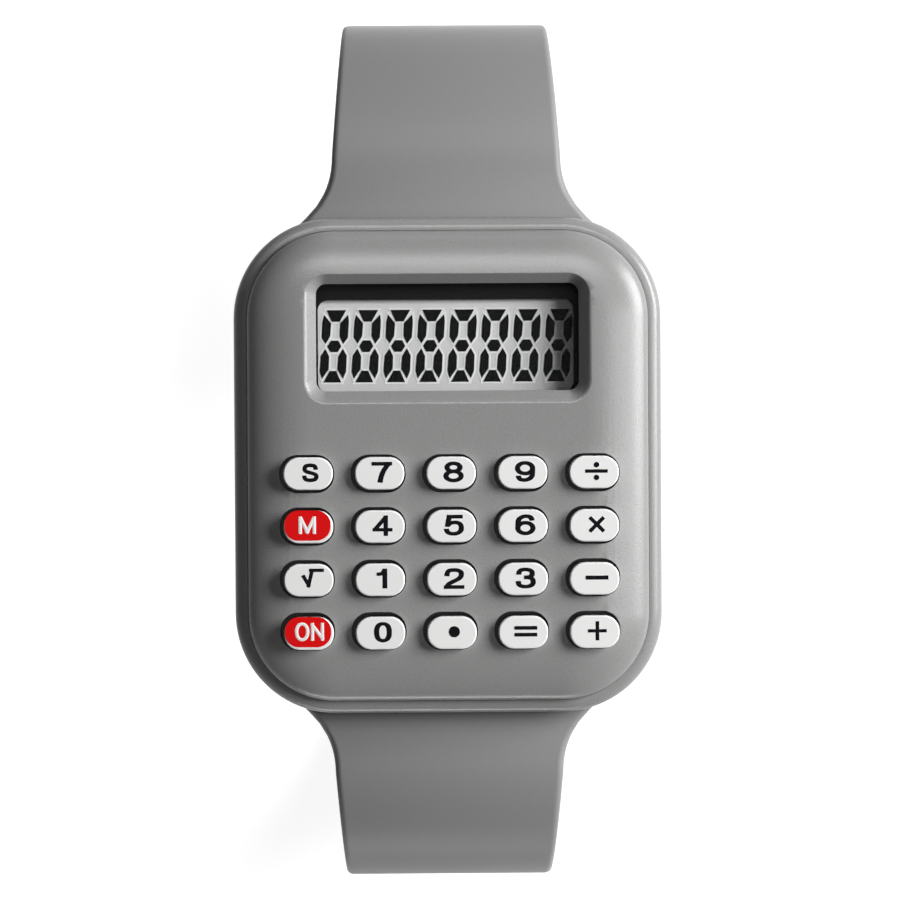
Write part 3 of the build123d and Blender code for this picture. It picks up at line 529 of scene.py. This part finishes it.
strokes = {
    "zero": [("ring", oval(0.5, 0.5, square=0.5))],
    "one": [("line", [(0.5, -0.5), (0.5, 0.5)]),
            ("bent", [(-0.64, 0.27), (-0.1, 0.27), (0.25, 0.34), (0.42, 0.5)])],
    "two": [("bent", [(-0.48, 0.14), (-0.46, 0.40), (-0.2, 0.5), (0.2, 0.5), (0.49, 0.38), (0.48, 0.12),
                      (0.25, -0.06), (-0.12, -0.2), (-0.42, -0.34), (-0.48, -0.5)]),
            ("line", [(-0.5, -0.5), (0.5, -0.5)])],
    "three": [("bent", [(-0.46, 0.2), (-0.44, 0.42), (-0.19, 0.5), (0.18, 0.5), (0.44, 0.40), (0.44, 0.14),
                        (0.2, 0.04), (-0.1, 0.04)]),
              ("bent", [(-0.1, 0.04), (0.25, 0.04), (0.5, -0.07), (0.5, -0.38), (0.2, -0.5), (-0.2, -0.5),
                        (-0.48, -0.40), (-0.5, -0.17)])],
    "four": [("line", [(0.22, -0.5), (0.22, 0.5)]), ("line", [(0.16, 0.44), (-0.44, -0.2)]),
             ("line", [(-0.46, -0.24), (0.5, -0.24)])],
    "five": [("line", [(-0.26, 0.5), (0.42, 0.5)]), ("line", [(-0.3, 0.5), (-0.41, 0.02)]),
             ("bent", [(-0.42, -0.02), (-0.24, 0.14), (0, 0.16), (0.26, 0.16), (0.5, 0.02), (0.5, -0.33),
                       (0.2, -0.5), (-0.2, -0.5), (-0.47, -0.40), (-0.5, -0.2)])],
    "six": [("bent", [(0.45, 0.24), (0.41, 0.43), (0.18, 0.5), (-0.12, 0.5), (-0.46, 0.34), (-0.5, 0),
                      (-0.5, -0.2)]),
            ("ring", oval(0.5, 0.31, -0.19))],
    "seven": [("line", [(-0.5, 0.5), (0.5, 0.5)]), ("bent", [(0.48, 0.5), (-0.02, 0.12), (-0.13, -0.6)])],
    "eight": [("ring", oval(0.43, 0.235, 0.265)), ("ring", oval(0.5, 0.265, -0.235))],
    "letter_s": [("bent", [(0.45, 0.2), (0.42, 0.42), (0.18, 0.5), (-0.2, 0.5), (-0.46, 0.41),
                           (-0.47, 0.14), (-0.22, 0.05), (0.22, -0.05), (0.49, -0.14), (0.48, -0.40),
                           (0.2, -0.5), (-0.22, -0.5), (-0.48, -0.41), (-0.5, -0.18)])],
    "letter_m": [("line", [(-0.5, -0.5), (-0.5, 0.5)]), ("line", [(0.5, -0.5), (0.5, 0.5)]),
                 ("line", [(-0.46, 0.48), (0, -0.46)]), ("line", [(0.46, 0.48), (0, -0.46)])],
    "letter_o": [("ring", oval(0.5, 0.5, square=0.46))],
    "letter_n": [("line", [(-0.5, -0.5), (-0.5, 0.5)]), ("line", [(0.5, -0.5), (0.5, 0.5)]),
                 ("line", [(-0.5, 0.46), (0.5, -0.46)])],
    "root": [("line", [(-0.5, 0.08), (-0.24, -0.46)]), ("line", [(-0.24, -0.5), (-0.04, 0.5)]),
             ("line", [(-0.1, 0.5), (0.5, 0.5)])],
    "plus": [("line", [(-0.5, 0), (0.5, 0)]), ("line", [(0, -0.5), (0, 0.5)])],
    "minus": [("line", [(-0.5, 0), (0.5, 0)])],
    "times": [("line", [(-0.5, -0.5), (0.5, 0.5)]), ("line", [(-0.5, 0.5), (0.5, -0.5)])],
    "equals": [("line", [(-0.5, 0.5), (0.5, 0.5)]), ("line", [(-0.5, -0.5), (0.5, -0.5)])],
    "divide": [("line", [(-0.5, 0), (0.5, 0)]), ("dot", [(0, 0.5)]), ("dot", [(0, -0.5)])],
    "point": [("dot", [(0, 0)])],
}
strokes["nine"] = [(kind, [(-across, -up) for across, up in points]) for kind, points in strokes["six"]]
sign_layout = [
    ["letter_s", "seven", "eight", "nine", "divide"],
    ["letter_m", "four", "five", "six", "times"],
    ["root", "one", "two", "three", "minus"],
    ["on", "zero", "point", "equals", "plus"],
]
# Width and height of each sign, and the pen's height and width
digit_size = (1.90 * mm, 1.94 * mm, 0.35 * mm, 0.50 * mm)
sign_sizes = {
    "four": (1.90 * mm, 1.90 * mm, 0.32 * mm, 0.42 * mm),
    "zero": (1.68 * mm, 1.90 * mm, 0.33 * mm, 0.50 * mm),
    "one": (1.12 * mm, 1.84 * mm, 0.33 * mm, 0.46 * mm),
    "letter_s": (1.56 * mm, 1.74 * mm, 0.35 * mm, 0.42 * mm),
    "letter_m": (1.62 * mm, 1.62 * mm, 0.32 * mm, 0.32 * mm),
    "letter_o": (1.34 * mm, 1.74 * mm, 0.28 * mm, 0.32 * mm),
    "letter_n": (1.22 * mm, 1.66 * mm, 0.30 * mm, 0.30 * mm),
    "root": (2.06 * mm, 1.74 * mm, 0.32 * mm, 0.36 * mm),
    "divide": (2.08 * mm, 1.52 * mm, 0.33 * mm, 0.33 * mm),
    "times": (1.42 * mm, 1.42 * mm, 0.36 * mm, 0.36 * mm),
    "minus": (2.12 * mm, 0.38 * mm, 0.38 * mm, 0.38 * mm),
    "equals": (2.12 * mm, 0.98 * mm, 0.35 * mm, 0.35 * mm),
    "plus": (1.76 * mm, 1.78 * mm, 0.31 * mm, 0.35 * mm),
    "point": (1.04 * mm, 1.04 * mm, 1.04 * mm, 1.04 * mm),
}
divide_dot = 0.50 * mm
pen_facets, pen_steps = 2, 6


def round_tool(centre, radius, length, axis_turn, steps=32):
    """A round bar to cut or join with, turned from upright by its axis turn."""
    deselect()
    bpy.ops.mesh.primitive_cylinder_add(
        vertices=steps, radius=radius, depth=length, location=centre, rotation=axis_turn
    )
    bpy.ops.object.transform_apply(location=True, rotation=True, scale=False)
    return bpy.context.object


def add_stroke(drawing, kind, spots, overhang):
    """Adds one stroke to a drawing. A straight one goes on past both its ends by the overhang."""
    if kind == "line":
        ahead = (spots[1] - spots[0]).normalized() * overhang
        spots = [spots[0] - ahead, spots[1] + ahead]
    spline = drawing.splines.new("POLY" if kind == "line" else "NURBS")
    spline.points.add(len(spots) - 1)
    for point, (x, y) in zip(spline.points, spots):
        point.co = (x, y, 0, 1)
    spline.use_cyclic_u = kind == "ring"
    if kind != "line":
        spline.order_u = 3
        spline.use_endpoint_u = kind == "bent"


def draw_sign(name, sign, place, ink, level):
    """Draws one sign's strokes on a key as pen lines, pressed flat to the ink's thickness."""
    width, height, pen_height, pen_width = sign_sizes.get(sign, digit_size)
    drawing = bpy.data.curves.new(name, "CURVE")
    drawing.dimensions = "3D"
    drawing.bevel_depth = pen_height / 2
    drawing.bevel_resolution = pen_facets
    drawing.use_fill_caps = True
    drawing.resolution_u = pen_steps
    stretch = pen_width / pen_height
    dot_spots = []
    reach_x, reach_y = width - pen_width, height - pen_height
    for kind, points in strokes[sign]:
        spots = [Vector((across * reach_x, up * reach_y)) for across, up in points]
        if kind == "dot":
            dot_spots += spots
        else:
            add_stroke(drawing, kind, [Vector((x / stretch, y)) for x, y in spots], pen_height / 2)
    piece = bpy.data.objects.new(name, drawing)
    bpy.context.scene.collection.objects.link(piece)
    take(piece)
    bpy.ops.object.convert(target="MESH")
    piece = bpy.context.object
    piece.scale = (stretch, 1, 2 * ink_thickness / pen_height)
    piece.location = (place.x, place.y, level)
    bpy.ops.object.transform_apply(location=True, rotation=False, scale=True)
    dot_size = width if sign == "point" else divide_dot
    dots = [
        round_tool((place.x + x, place.y + y, level), dot_size / 2, 2 * ink_thickness, (0, 0, 0))
        for x, y in dot_spots
    ]
    if dots:
        join([piece, *dots])
    piece.name = piece.data.name = name
    coat(piece, ink)
    bpy.ops.object.shade_smooth_by_angle(angle=ink_crease)
    return piece


for row, column in key_places:
    sign, key = sign_layout[row][column], key_body(row, column)
    middle = key_centre(row, column)
    if sign in field_letters:
        middle += Vector((*field_shift, 0))
        field = rounded_slab(
            f"red_field_{sign}",
            middle,
            (field_width, field_height),
            field_corner,
            key_top_z - ink_thickness,
            field_top_z,
        )
        coat(field, red_print)
        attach(field, key)
        for letter, across in field_letters[sign]:
            spot = middle + Vector((across, letter_rise, 0))
            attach(draw_sign(f"{letter}_print", letter, spot, white_print, field_top_z), key)
    else:
        spot = middle + Vector((*sign_shift, 0)) + Vector((*sign_nudges.get(sign, (0, 0)), 0))
        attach(draw_sign(f"{sign}_print", sign, spot, black_print, key_top_z), key)

# Display: a light liquid crystal cell in a black tray under a clear sheet. Its colour is painted paler at
# the top and darker at the bottom, as painted light against the shade of the window's top wall. Its digits
# are dark, and a pale line runs round and between all their segments.
cell_light = (0.76, 0.765, 0.76)
painted_light_share = 0.14
segment_dark = (0.004, 0.005, 0.005)
tray_black = (0.008, 0.008, 0.009)
line_white = (0.95, 0.95, 0.95)
line_reach = 0.18 * mm
line_low, line_high = 0.004 * mm, 0.02 * mm
merge_reach = 0.001 * mm
lens_clear = (0.03, 0.03, 0.03)
lens_alpha = 0.06
lens_ior = 1.49
cell_surface = moulded(
    "cell_surface", cell_light, roughness=0.35, specular=0.3, grain=0.1, depth=0.001, mottle=0.01
)
segment_ink = moulded("segment_ink", segment_dark, roughness=0.4, specular=0.03, grain=0.1, depth=0.001)
segment_line = moulded(
    "segment_line", line_white, roughness=0.5, specular=0.2, grain=0.1, depth=0.001, mottle=0
)
black_plastic = moulded("black_plastic", tray_black, roughness=0.5, specular=0.05, depth=0.006)
clear_sheet = moulded("clear_sheet", lens_clear, roughness=0.06, specular=0.3, depth=0.0005)
shader_of(clear_sheet).inputs["Alpha"].default_value = lens_alpha
shader_of(clear_sheet).inputs["IOR"].default_value = lens_ior
dress(cell_surface, "display_cell", "display_reflector")
dress(segment_ink, "display_segments")
dress(black_plastic, "display_holder")
dress(clear_sheet, "display_lens")
cell_low, cell_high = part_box("display_cell")
cell_tree, cell_shader = cell_surface.node_tree, shader_of(cell_surface)
film_colour = cell_shader.inputs["Base Color"].links[0].from_socket
# The cell's colour is scaled by height: painted light, paler at the top and darker at the bottom
painted_light_fade = scaler(cell_tree, mapped(
    cell_tree, place_along(cell_surface, "Y"), cell_low.y, cell_high.y, 1 - painted_light_share, 1 + painted_light_share
))
cell_tree.links.new(film_colour, painted_light_fade.inputs[0])
cell_tree.links.new(painted_light_fade.outputs["Vector"], cell_shader.inputs["Base Color"])
lines = bpy.data.objects.new("segment_lines", nodes["display_segments"].data.copy())
bpy.context.scene.collection.objects.link(lines)
take(lines)
bpy.ops.object.mode_set(mode="EDIT")
bpy.ops.mesh.select_all(action="SELECT")
bpy.ops.mesh.remove_doubles(threshold=merge_reach)
bpy.ops.mesh.normals_make_consistent(inside=False)
bpy.ops.transform.shrink_fatten(value=line_reach, use_even_offset=True)
bpy.ops.object.mode_set(mode="OBJECT")
grown_heights = [vertex.co.z for vertex in lines.data.vertices]
grown_low, grown_high = min(grown_heights), max(grown_heights)
flatten = (line_high - line_low) / (grown_high - grown_low)
bpy.ops.object.mode_set(mode="EDIT")
bpy.ops.transform.resize(value=(1, 1, flatten), center_override=(0, 0, grown_low))
bpy.ops.transform.translate(value=(0, 0, cell_high.z + line_low - grown_low))
bpy.ops.object.mode_set(mode="OBJECT")
coat(lines, segment_line)
bpy.ops.object.shade_flat()
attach(lines, "case")

# Straps: two soft silicone mouldings on spring bars, curved as on the wrist. Each is one bar that
# starts round its spring bar, flares out to the case's corners, and bends over to a long curl.
hinge_pin_low, hinge_pin_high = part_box("strap_pin_top")
hinge_y = (hinge_pin_low.y + hinge_pin_high.y) / 2
hinge_z = (hinge_pin_low.z + hinge_pin_high.z) / 2
strap_thickness = 2.4 * mm
strap_edge = 0.85 * mm
strap_edge_steps = 5
barrel_radius = 2.2 * mm
barrel_degrees = (82, 60, 40, 20, 0)
shoulder_run = 2.2 * mm
shoulder_steps = 5
bend_start = 5.1 * mm
root_half_width = 10.75 * mm
horizon_half_width = 9.72 * mm
flare_start = 5.6 * mm
flare_radius = 7.6 * mm
flare_turn = radians(55)
flare_half_width = root_half_width + flare_radius * (1 - cos(flare_turn))
end_half_width = 8.15 * mm
taper_top_half_width = 10.35 * mm
taper_top_z, taper_end_z = 2.5 * mm, -30 * mm
bend_rings, side_rings, curl_rings, tip_rings = 26, 3, 26, 8
bore_radius = 0.8 * mm
lug_pocket_x = (7.45 * mm, 10.05 * mm)
lug_room = 1.9 * mm
lug_skin_z = 1.7 * mm
lug_skin_back = 0.3 * mm
along_hinge = (0, radians(90), 0)
rubber_crease = radians(40)
rubber_sheen, rubber_sheen_roughness = 0.25, 0.35
grey_rubber = (0.222, 0.222, 0.222)
strap_rubber = moulded(
    "strap_rubber", grey_rubber, roughness=0.5, specular=0.3, depth=0.008, mottle=0.04, cloud=0.02
)
shader_of(strap_rubber).inputs["Sheen Weight"].default_value = rubber_sheen
shader_of(strap_rubber).inputs["Sheen Roughness"].default_value = rubber_sheen_roughness


def strap_half_width(y, z, reach):
    """How far the strap's sides stand from its middle at a place on its 12 o'clock side."""
    flare_y = hinge_y + flare_start
    if y > flare_y:
        narrowing = (horizon_half_width - root_half_width) * (y - flare_y) / (reach - flare_y)
        seen_from_above = root_half_width + narrowing
    elif y > flare_y - flare_radius * sin(flare_turn):
        seen_from_above = root_half_width + flare_radius - sqrt(flare_radius**2 - (flare_y - y) ** 2)
    else:
        seen_from_above = flare_half_width
    if z > taper_top_z:
        return seen_from_above
    share = min((taper_top_z - z) / (taper_top_z - taper_end_z), 1)
    return min(seen_from_above, taper_top_half_width + (end_half_width - taper_top_half_width) * share)


def box_tool(low, high):
    """A plain block to cut with, between two corners."""
    deselect()
    bpy.ops.mesh.primitive_cube_add(size=1, location=[(a + b) / 2 for a, b in zip(low, high)])
    block = bpy.context.object
    block.scale = [b - a for a, b in zip(low, high)]
    bpy.ops.object.transform_apply(location=True, rotation=False, scale=True)
    return block


def cut_lug_pockets(strap):
    """Cuts the two pockets that take the case's lugs, and the bore for the spring bar."""
    back_y = hinge_y - 2 * barrel_radius
    for side in (-1, 1):
        inner, outer = sorted(side * x for x in lug_pocket_x)
        room_corner = (outer, hinge_y + lug_room, hinge_z + lug_skin_z)
        cut(strap, box_tool((inner, back_y, hinge_z - 2 * barrel_radius), room_corner))
        skin_corner = (outer, hinge_y - lug_skin_back, hinge_z + 2 * barrel_radius)
        cut(strap, box_tool((inner, back_y, hinge_z), skin_corner))
    bore_length = 2 * lug_pocket_x[0] + overrun
    cut(strap, round_tool((0, hinge_y, hinge_z), bore_radius, bore_length, along_hinge))


def grow_strap(name, reach, curl_radius, top_z, bottom_z, end_y, tip_radius):
    """Grows a strap on the 12 o'clock side ring by ring, from its spring bar to its flat end."""
    bend_y = hinge_y + bend_start
    bend_radius = reach - bend_y
    bend_z = top_z - bend_radius
    curl_y, curl_z = reach - curl_radius, bottom_z + curl_radius
    deselect()
    bpy.ops.mesh.primitive_plane_add(size=1, location=(0, hinge_y, hinge_z), rotation=(radians(90), 0, 0))
    strap = bpy.context.object
    strap.name = strap.data.name = name
    strap.scale = (2 * flare_half_width, 2 * barrel_radius, 1)
    bpy.ops.object.transform_apply(location=True, rotation=True, scale=True)
    bpy.ops.object.mode_set(mode="EDIT")
    bpy.ops.mesh.select_all(action="SELECT")
    bpy.ops.mesh.bevel(affect="VERTICES", offset=strap_edge, segments=strap_edge_steps)
    ring = {"y": hinge_y, "half_width": flare_half_width, "height": 2 * barrel_radius}

    def extrude(move_y, move_z):
        bpy.ops.mesh.extrude_region_move(TRANSFORM_OT_translate={"value": (0, move_y, move_z)})

    def fit(half_width, height, anchor):
        wider, higher = half_width / ring["half_width"], height / ring["height"]
        bpy.ops.transform.resize(value=(wider, 1, higher), center_override=anchor)
        ring.update(half_width=half_width, height=height)

    def root_ring(y, height, anchor_z, grow=True):
        if grow:
            extrude(y - ring["y"], 0)
        else:
            bpy.ops.transform.translate(value=(0, y - ring["y"], 0))
        ring["y"] = y
        fit(strap_half_width(y, top_z, reach), height, (0, y, anchor_z))

    def curve(rings, centre_y, centre_z, radius, first_turn):
        centre = (0, centre_y, centre_z)
        for step in range(1, rings + 1):
            extrude(0, 0)
            bpy.ops.transform.rotate(value=pi / 2 / rings, orient_axis="X", center_override=centre)
            turn = first_turn + pi / 2 * step / rings
            y, z = centre_y + radius * sin(turn), centre_z + radius * cos(turn)
            fit(strap_half_width(y, z, reach), ring["height"], (0, y, z))

    barrel_turns = [radians(degrees) for degrees in barrel_degrees]
    for number, turn in enumerate(barrel_turns):
        root_ring(hinge_y - barrel_radius * sin(turn), 2 * barrel_radius * cos(turn), hinge_z, number > 0)
    root_ring(hinge_y + shoulder_run / 2, 2 * barrel_radius, hinge_z)
    root_ring(hinge_y + shoulder_run, 2 * barrel_radius, hinge_z)
    for step in range(1, shoulder_steps + 1):
        share = step / shoulder_steps
        height = 2 * barrel_radius + (strap_thickness - 2 * barrel_radius) * share
        root_ring(hinge_y + shoulder_run + (bend_start - shoulder_run) * share, height, top_z)
    middle = strap_thickness / 2
    curve(bend_rings, bend_y, bend_z, bend_radius - middle, 0)
    for step in range(1, side_rings + 1):
        extrude(0, (curl_z - bend_z) / side_rings)
        y, z = reach - middle, bend_z + (curl_z - bend_z) * step / side_rings
        fit(strap_half_width(y, z, reach), ring["height"], (0, y, z))
    curve(curl_rings, curl_y, curl_z, curl_radius - middle, pi / 2)
    tip_y = end_y + tip_radius
    extrude(tip_y - curl_y, 0)
    rings = tip_rings if tip_radius else 0
    for step in range(1, rings + 1):
        turn = pi / 2 * step / rings
        y = end_y + tip_radius * (1 - sin(turn))
        extrude(y - tip_y, 0)
        tip_y = y
        fit(end_half_width - tip_radius * (1 - cos(turn)), ring["height"], (0, y, bottom_z + middle))
    bpy.ops.mesh.select_all(action="SELECT")
    bpy.ops.mesh.normals_make_consistent(inside=False)
    bpy.ops.object.mode_set(mode="OBJECT")
    cut_lug_pockets(strap)
    return strap


def finish_strap(strap, body, node):
    """Smooths a silicone piece, gives it its rubber and hangs it on its body."""
    take(strap)
    bpy.ops.object.shade_smooth_by_angle(angle=rubber_crease)
    coat(strap, strap_rubber)
    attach(strap, body)
    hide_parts(node)


# Buckle strap: its flat end carries a round knuckle of the same silicone, bored for the buckle's
# pin and slotted for the tongue
buckle_strap_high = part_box("strap_buckle_side")[1]
buckle_pin_low, buckle_pin_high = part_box("buckle_pin")
buckle_pin_place = (buckle_pin_low + buckle_pin_high) / 2
pin_y, pin_z = buckle_pin_place.yz
knuckle_radius = 1.6 * mm
knuckle_steps = 40
knuckle_side_gap = 0.05 * mm
knuckle_length = 2 * (end_half_width - knuckle_side_gap)
buckle_curl_radius = 19 * mm
tongue_slot_half_width, tongue_slot_reach = 1.35 * mm, 2.1 * mm
buckle_strap = grow_strap(
    "buckle_strap",
    buckle_strap_high.y,
    buckle_curl_radius,
    buckle_strap_high.z,
    pin_z - strap_thickness / 2,
    pin_y,
    tip_radius=0,
)
knuckle = round_tool(buckle_pin_place, knuckle_radius, knuckle_length, along_hinge, knuckle_steps)
cut(buckle_strap, knuckle, "UNION")
cut(buckle_strap, round_tool(buckle_pin_place, bore_radius, 3 * end_half_width, along_hinge))
cut(buckle_strap, box_tool(
    (-tongue_slot_half_width, pin_y - 2 * knuckle_radius, pin_z - 2 * knuckle_radius),
    (tongue_slot_half_width, pin_y + tongue_slot_reach, pin_z + 2 * knuckle_radius),
))
finish_strap(buckle_strap, "strap_buckle_side", "strap_buckle_side")

# Hole strap: the longer one, with a round tip, and with a row of holes for the tongue moulded
# along its flat end and up its curl. The watch stands on its flat end.
hole_low, hole_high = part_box("strap_hole_side")
hole_curl_radius = 21 * mm
hole_end_y = -hole_high.y
tip_radius = 6.5 * mm
hole_radius = 1.15 * mm
hole_steps = 28
hole_pitch = 6.2 * mm
hole_start = 9 * mm
flat_holes, curl_holes = 4, 3
hole_strap = grow_strap(
    "hole_strap", -hole_low.y, hole_curl_radius, hole_high.z, hole_low.z, hole_end_y, tip_radius
)
curl_y, curl_z = -hole_low.y - hole_curl_radius, hole_low.z + hole_curl_radius
for hole in range(flat_holes + curl_holes):
    run = hole_end_y + hole_start + hole * hole_pitch - curl_y
    turn = max(run / (hole_curl_radius - strap_thickness / 2), 0)
    spot = (0, curl_y + hole_curl_radius * sin(turn) + min(run, 0), curl_z - hole_curl_radius * cos(turn))
    cut(hole_strap, round_tool(spot, hole_radius, 3 * strap_thickness, (turn, 0, 0), hole_steps))
take(hole_strap)
bpy.ops.transform.mirror(constraint_axis=(False, True, False), center_override=(0, 0, 0))
bpy.ops.object.transform_apply(location=True, rotation=True, scale=True)
bpy.ops.object.mode_set(mode="EDIT")
bpy.ops.mesh.select_all(action="SELECT")
bpy.ops.mesh.normals_make_consistent(inside=False)
bpy.ops.object.mode_set(mode="OBJECT")
finish_strap(hole_strap, "strap_hole_side", "strap_hole_side")

# Keeper: a loop of the same silicone, moulded in one piece, that slides along the buckle strap and
# holds the other strap's free end
keeper_low, keeper_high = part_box("strap_keeper")
keeper_wall = 1.3 * mm
keeper_corner = 1.9 * mm
keeper_corner_steps = 6
keeper_rounding = 0.4 * mm
deselect()
bpy.ops.mesh.primitive_plane_add(size=1, rotation=(radians(90), 0, 0), location=(
    0, keeper_high.y, (keeper_low.z + keeper_high.z) / 2
))
keeper = bpy.context.object
keeper.name = keeper.data.name = "keeper_loop"
keeper.scale = (keeper_high.x - keeper_low.x, keeper_high.z - keeper_low.z, 1)
bpy.ops.object.transform_apply(location=True, rotation=True, scale=True)
bpy.ops.object.mode_set(mode="EDIT")
bpy.ops.mesh.select_all(action="SELECT")
bpy.ops.mesh.bevel(affect="VERTICES", offset=keeper_corner, segments=keeper_corner_steps)
bpy.ops.mesh.select_all(action="SELECT")
bpy.ops.mesh.inset(thickness=keeper_wall, use_even_offset=True)
bpy.ops.mesh.delete(type="FACE")
bpy.ops.mesh.select_all(action="SELECT")
bpy.ops.mesh.extrude_region_move(TRANSFORM_OT_translate={"value": (0, keeper_low.y - keeper_high.y, 0)})
bpy.ops.mesh.select_all(action="SELECT")
bpy.ops.mesh.normals_make_consistent(inside=False)
bpy.ops.object.mode_set(mode="OBJECT")
round_edges(keeper, keeper_rounding)
finish_strap(keeper, "keeper", "strap_keeper")

# Steel pieces: the buckle and its tongue are brushed along the strap, the turned pins and the
# screws are brighter, and the coin cell and the crystal's can are drawn from nickel-plated sheet
buckle_steel = (0.60, 0.59, 0.57)
turned_steel = (0.66, 0.65, 0.64)
plated_sheet = (0.63, 0.62, 0.58)
spring_alloy = (0.72, 0.62, 0.40)


def brushed(name, colour, roughness, run=(0.04, 1, 1), scratch=0.06):
    """A metal with fine scratches, long in the direction where the run is small."""
    material = moulded(
        name, colour, roughness, specular=0.5, grain=scratch, depth=0.004, mottle=0.04, cloud=0.03
    )
    shader_of(material).inputs["Metallic"].default_value = 1
    tree = material.node_tree
    stretch = tree.nodes.new("ShaderNodeMapping")
    stretch.inputs["Scale"].default_value = run
    tree.links.new(place_of(material), stretch.inputs["Vector"])
    for node in tree.nodes:
        if node.bl_idname == "ShaderNodeTexNoise":
            tree.links.new(stretch.outputs["Vector"], node.inputs["Vector"])
    return material


dress(brushed("buckle_steel", buckle_steel, 0.28), "buckle_frame")
dress(brushed("tongue_steel", buckle_steel, 0.24, run=(1, 0.04, 1)), "buckle_tongue")
dress(
    brushed("turned_steel", turned_steel, 0.22, run=(1, 0.2, 0.2)),
    "strap_pin_top", "strap_pin_bottom", "buckle_pin", "case_screws", "battery_door_screw",
)
dress(
    brushed("plated_sheet", plated_sheet, 0.25, run=(1, 1, 0.1), scratch=0.12),
    "battery", "quartz_crystal",
)
dress(
    brushed("spring_alloy", spring_alloy, 0.3, run=(0.1, 1, 1)),
    "battery_contact_inner", "battery_contact_edge",
)

# Circuit board and what stands on it: green solder mask, the chip under a glossy drop of resin,
# fired ceramic chips, a dark key mat, and striped strips that lead up to the display
mask_green = (0.010, 0.085, 0.030)
resin_black = (0.010, 0.010, 0.011)
ceramic_tan = (0.34, 0.25, 0.16)
mat_grey = (0.05, 0.05, 0.052)
mat_glow, mat_glow_depth = 0.2, 0.5 * mm
strip_pink, strip_dark = (0.55, 0.36, 0.27), (0.03, 0.03, 0.03)
strip_pitch = 0.2 * mm
strip_dark_share = 0.5
# A wave texture repeats itself this often in pi metres at a scale of one
wave_repeats = 10
solder_mask = moulded("solder_mask", mask_green, roughness=0.3, specular=0.5, grain=0.4, depth=0.004)
resin_drop = moulded("resin_drop", resin_black, roughness=0.12, specular=0.5, grain=1.5, depth=0.01)
fired_ceramic = moulded("fired_ceramic", ceramic_tan, roughness=0.5, grain=0.08)
mat_rubber = moulded("mat_rubber", mat_grey, roughness=0.45, depth=0.004)
shader_of(mat_rubber).inputs["Subsurface Weight"].default_value = mat_glow
shader_of(mat_rubber).inputs["Subsurface Scale"].default_value = mat_glow_depth
striped_rubber = moulded("striped_rubber", strip_pink, roughness=0.5)
striped_tree = striped_rubber.node_tree
bands = striped_tree.nodes.new("ShaderNodeTexWave")
bands.bands_direction = "X"
bands.inputs["Scale"].default_value = pi / (wave_repeats * strip_pitch)
stripes = striped_tree.nodes.new("ShaderNodeValToRGB")
stripes.color_ramp.interpolation = "CONSTANT"
stripes.color_ramp.elements[0].color = (*strip_dark, 1)
stripes.color_ramp.elements[1].color = (*strip_pink, 1)
stripes.color_ramp.elements[1].position = strip_dark_share
striped_tree.links.new(place_of(striped_rubber), bands.inputs["Vector"])
striped_tree.links.new(bands.outputs["Fac"], stripes.inputs["Fac"])
striped_tree.links.new(stripes.outputs["Color"], shader_of(striped_rubber).inputs["Base Color"])
dress(solder_mask, "circuit_board")
dress(resin_drop, "chip_resin")
dress(fired_ceramic, "board_components")
dress(mat_rubber, "keypad_mat")
dress(striped_rubber, "connector_strips")
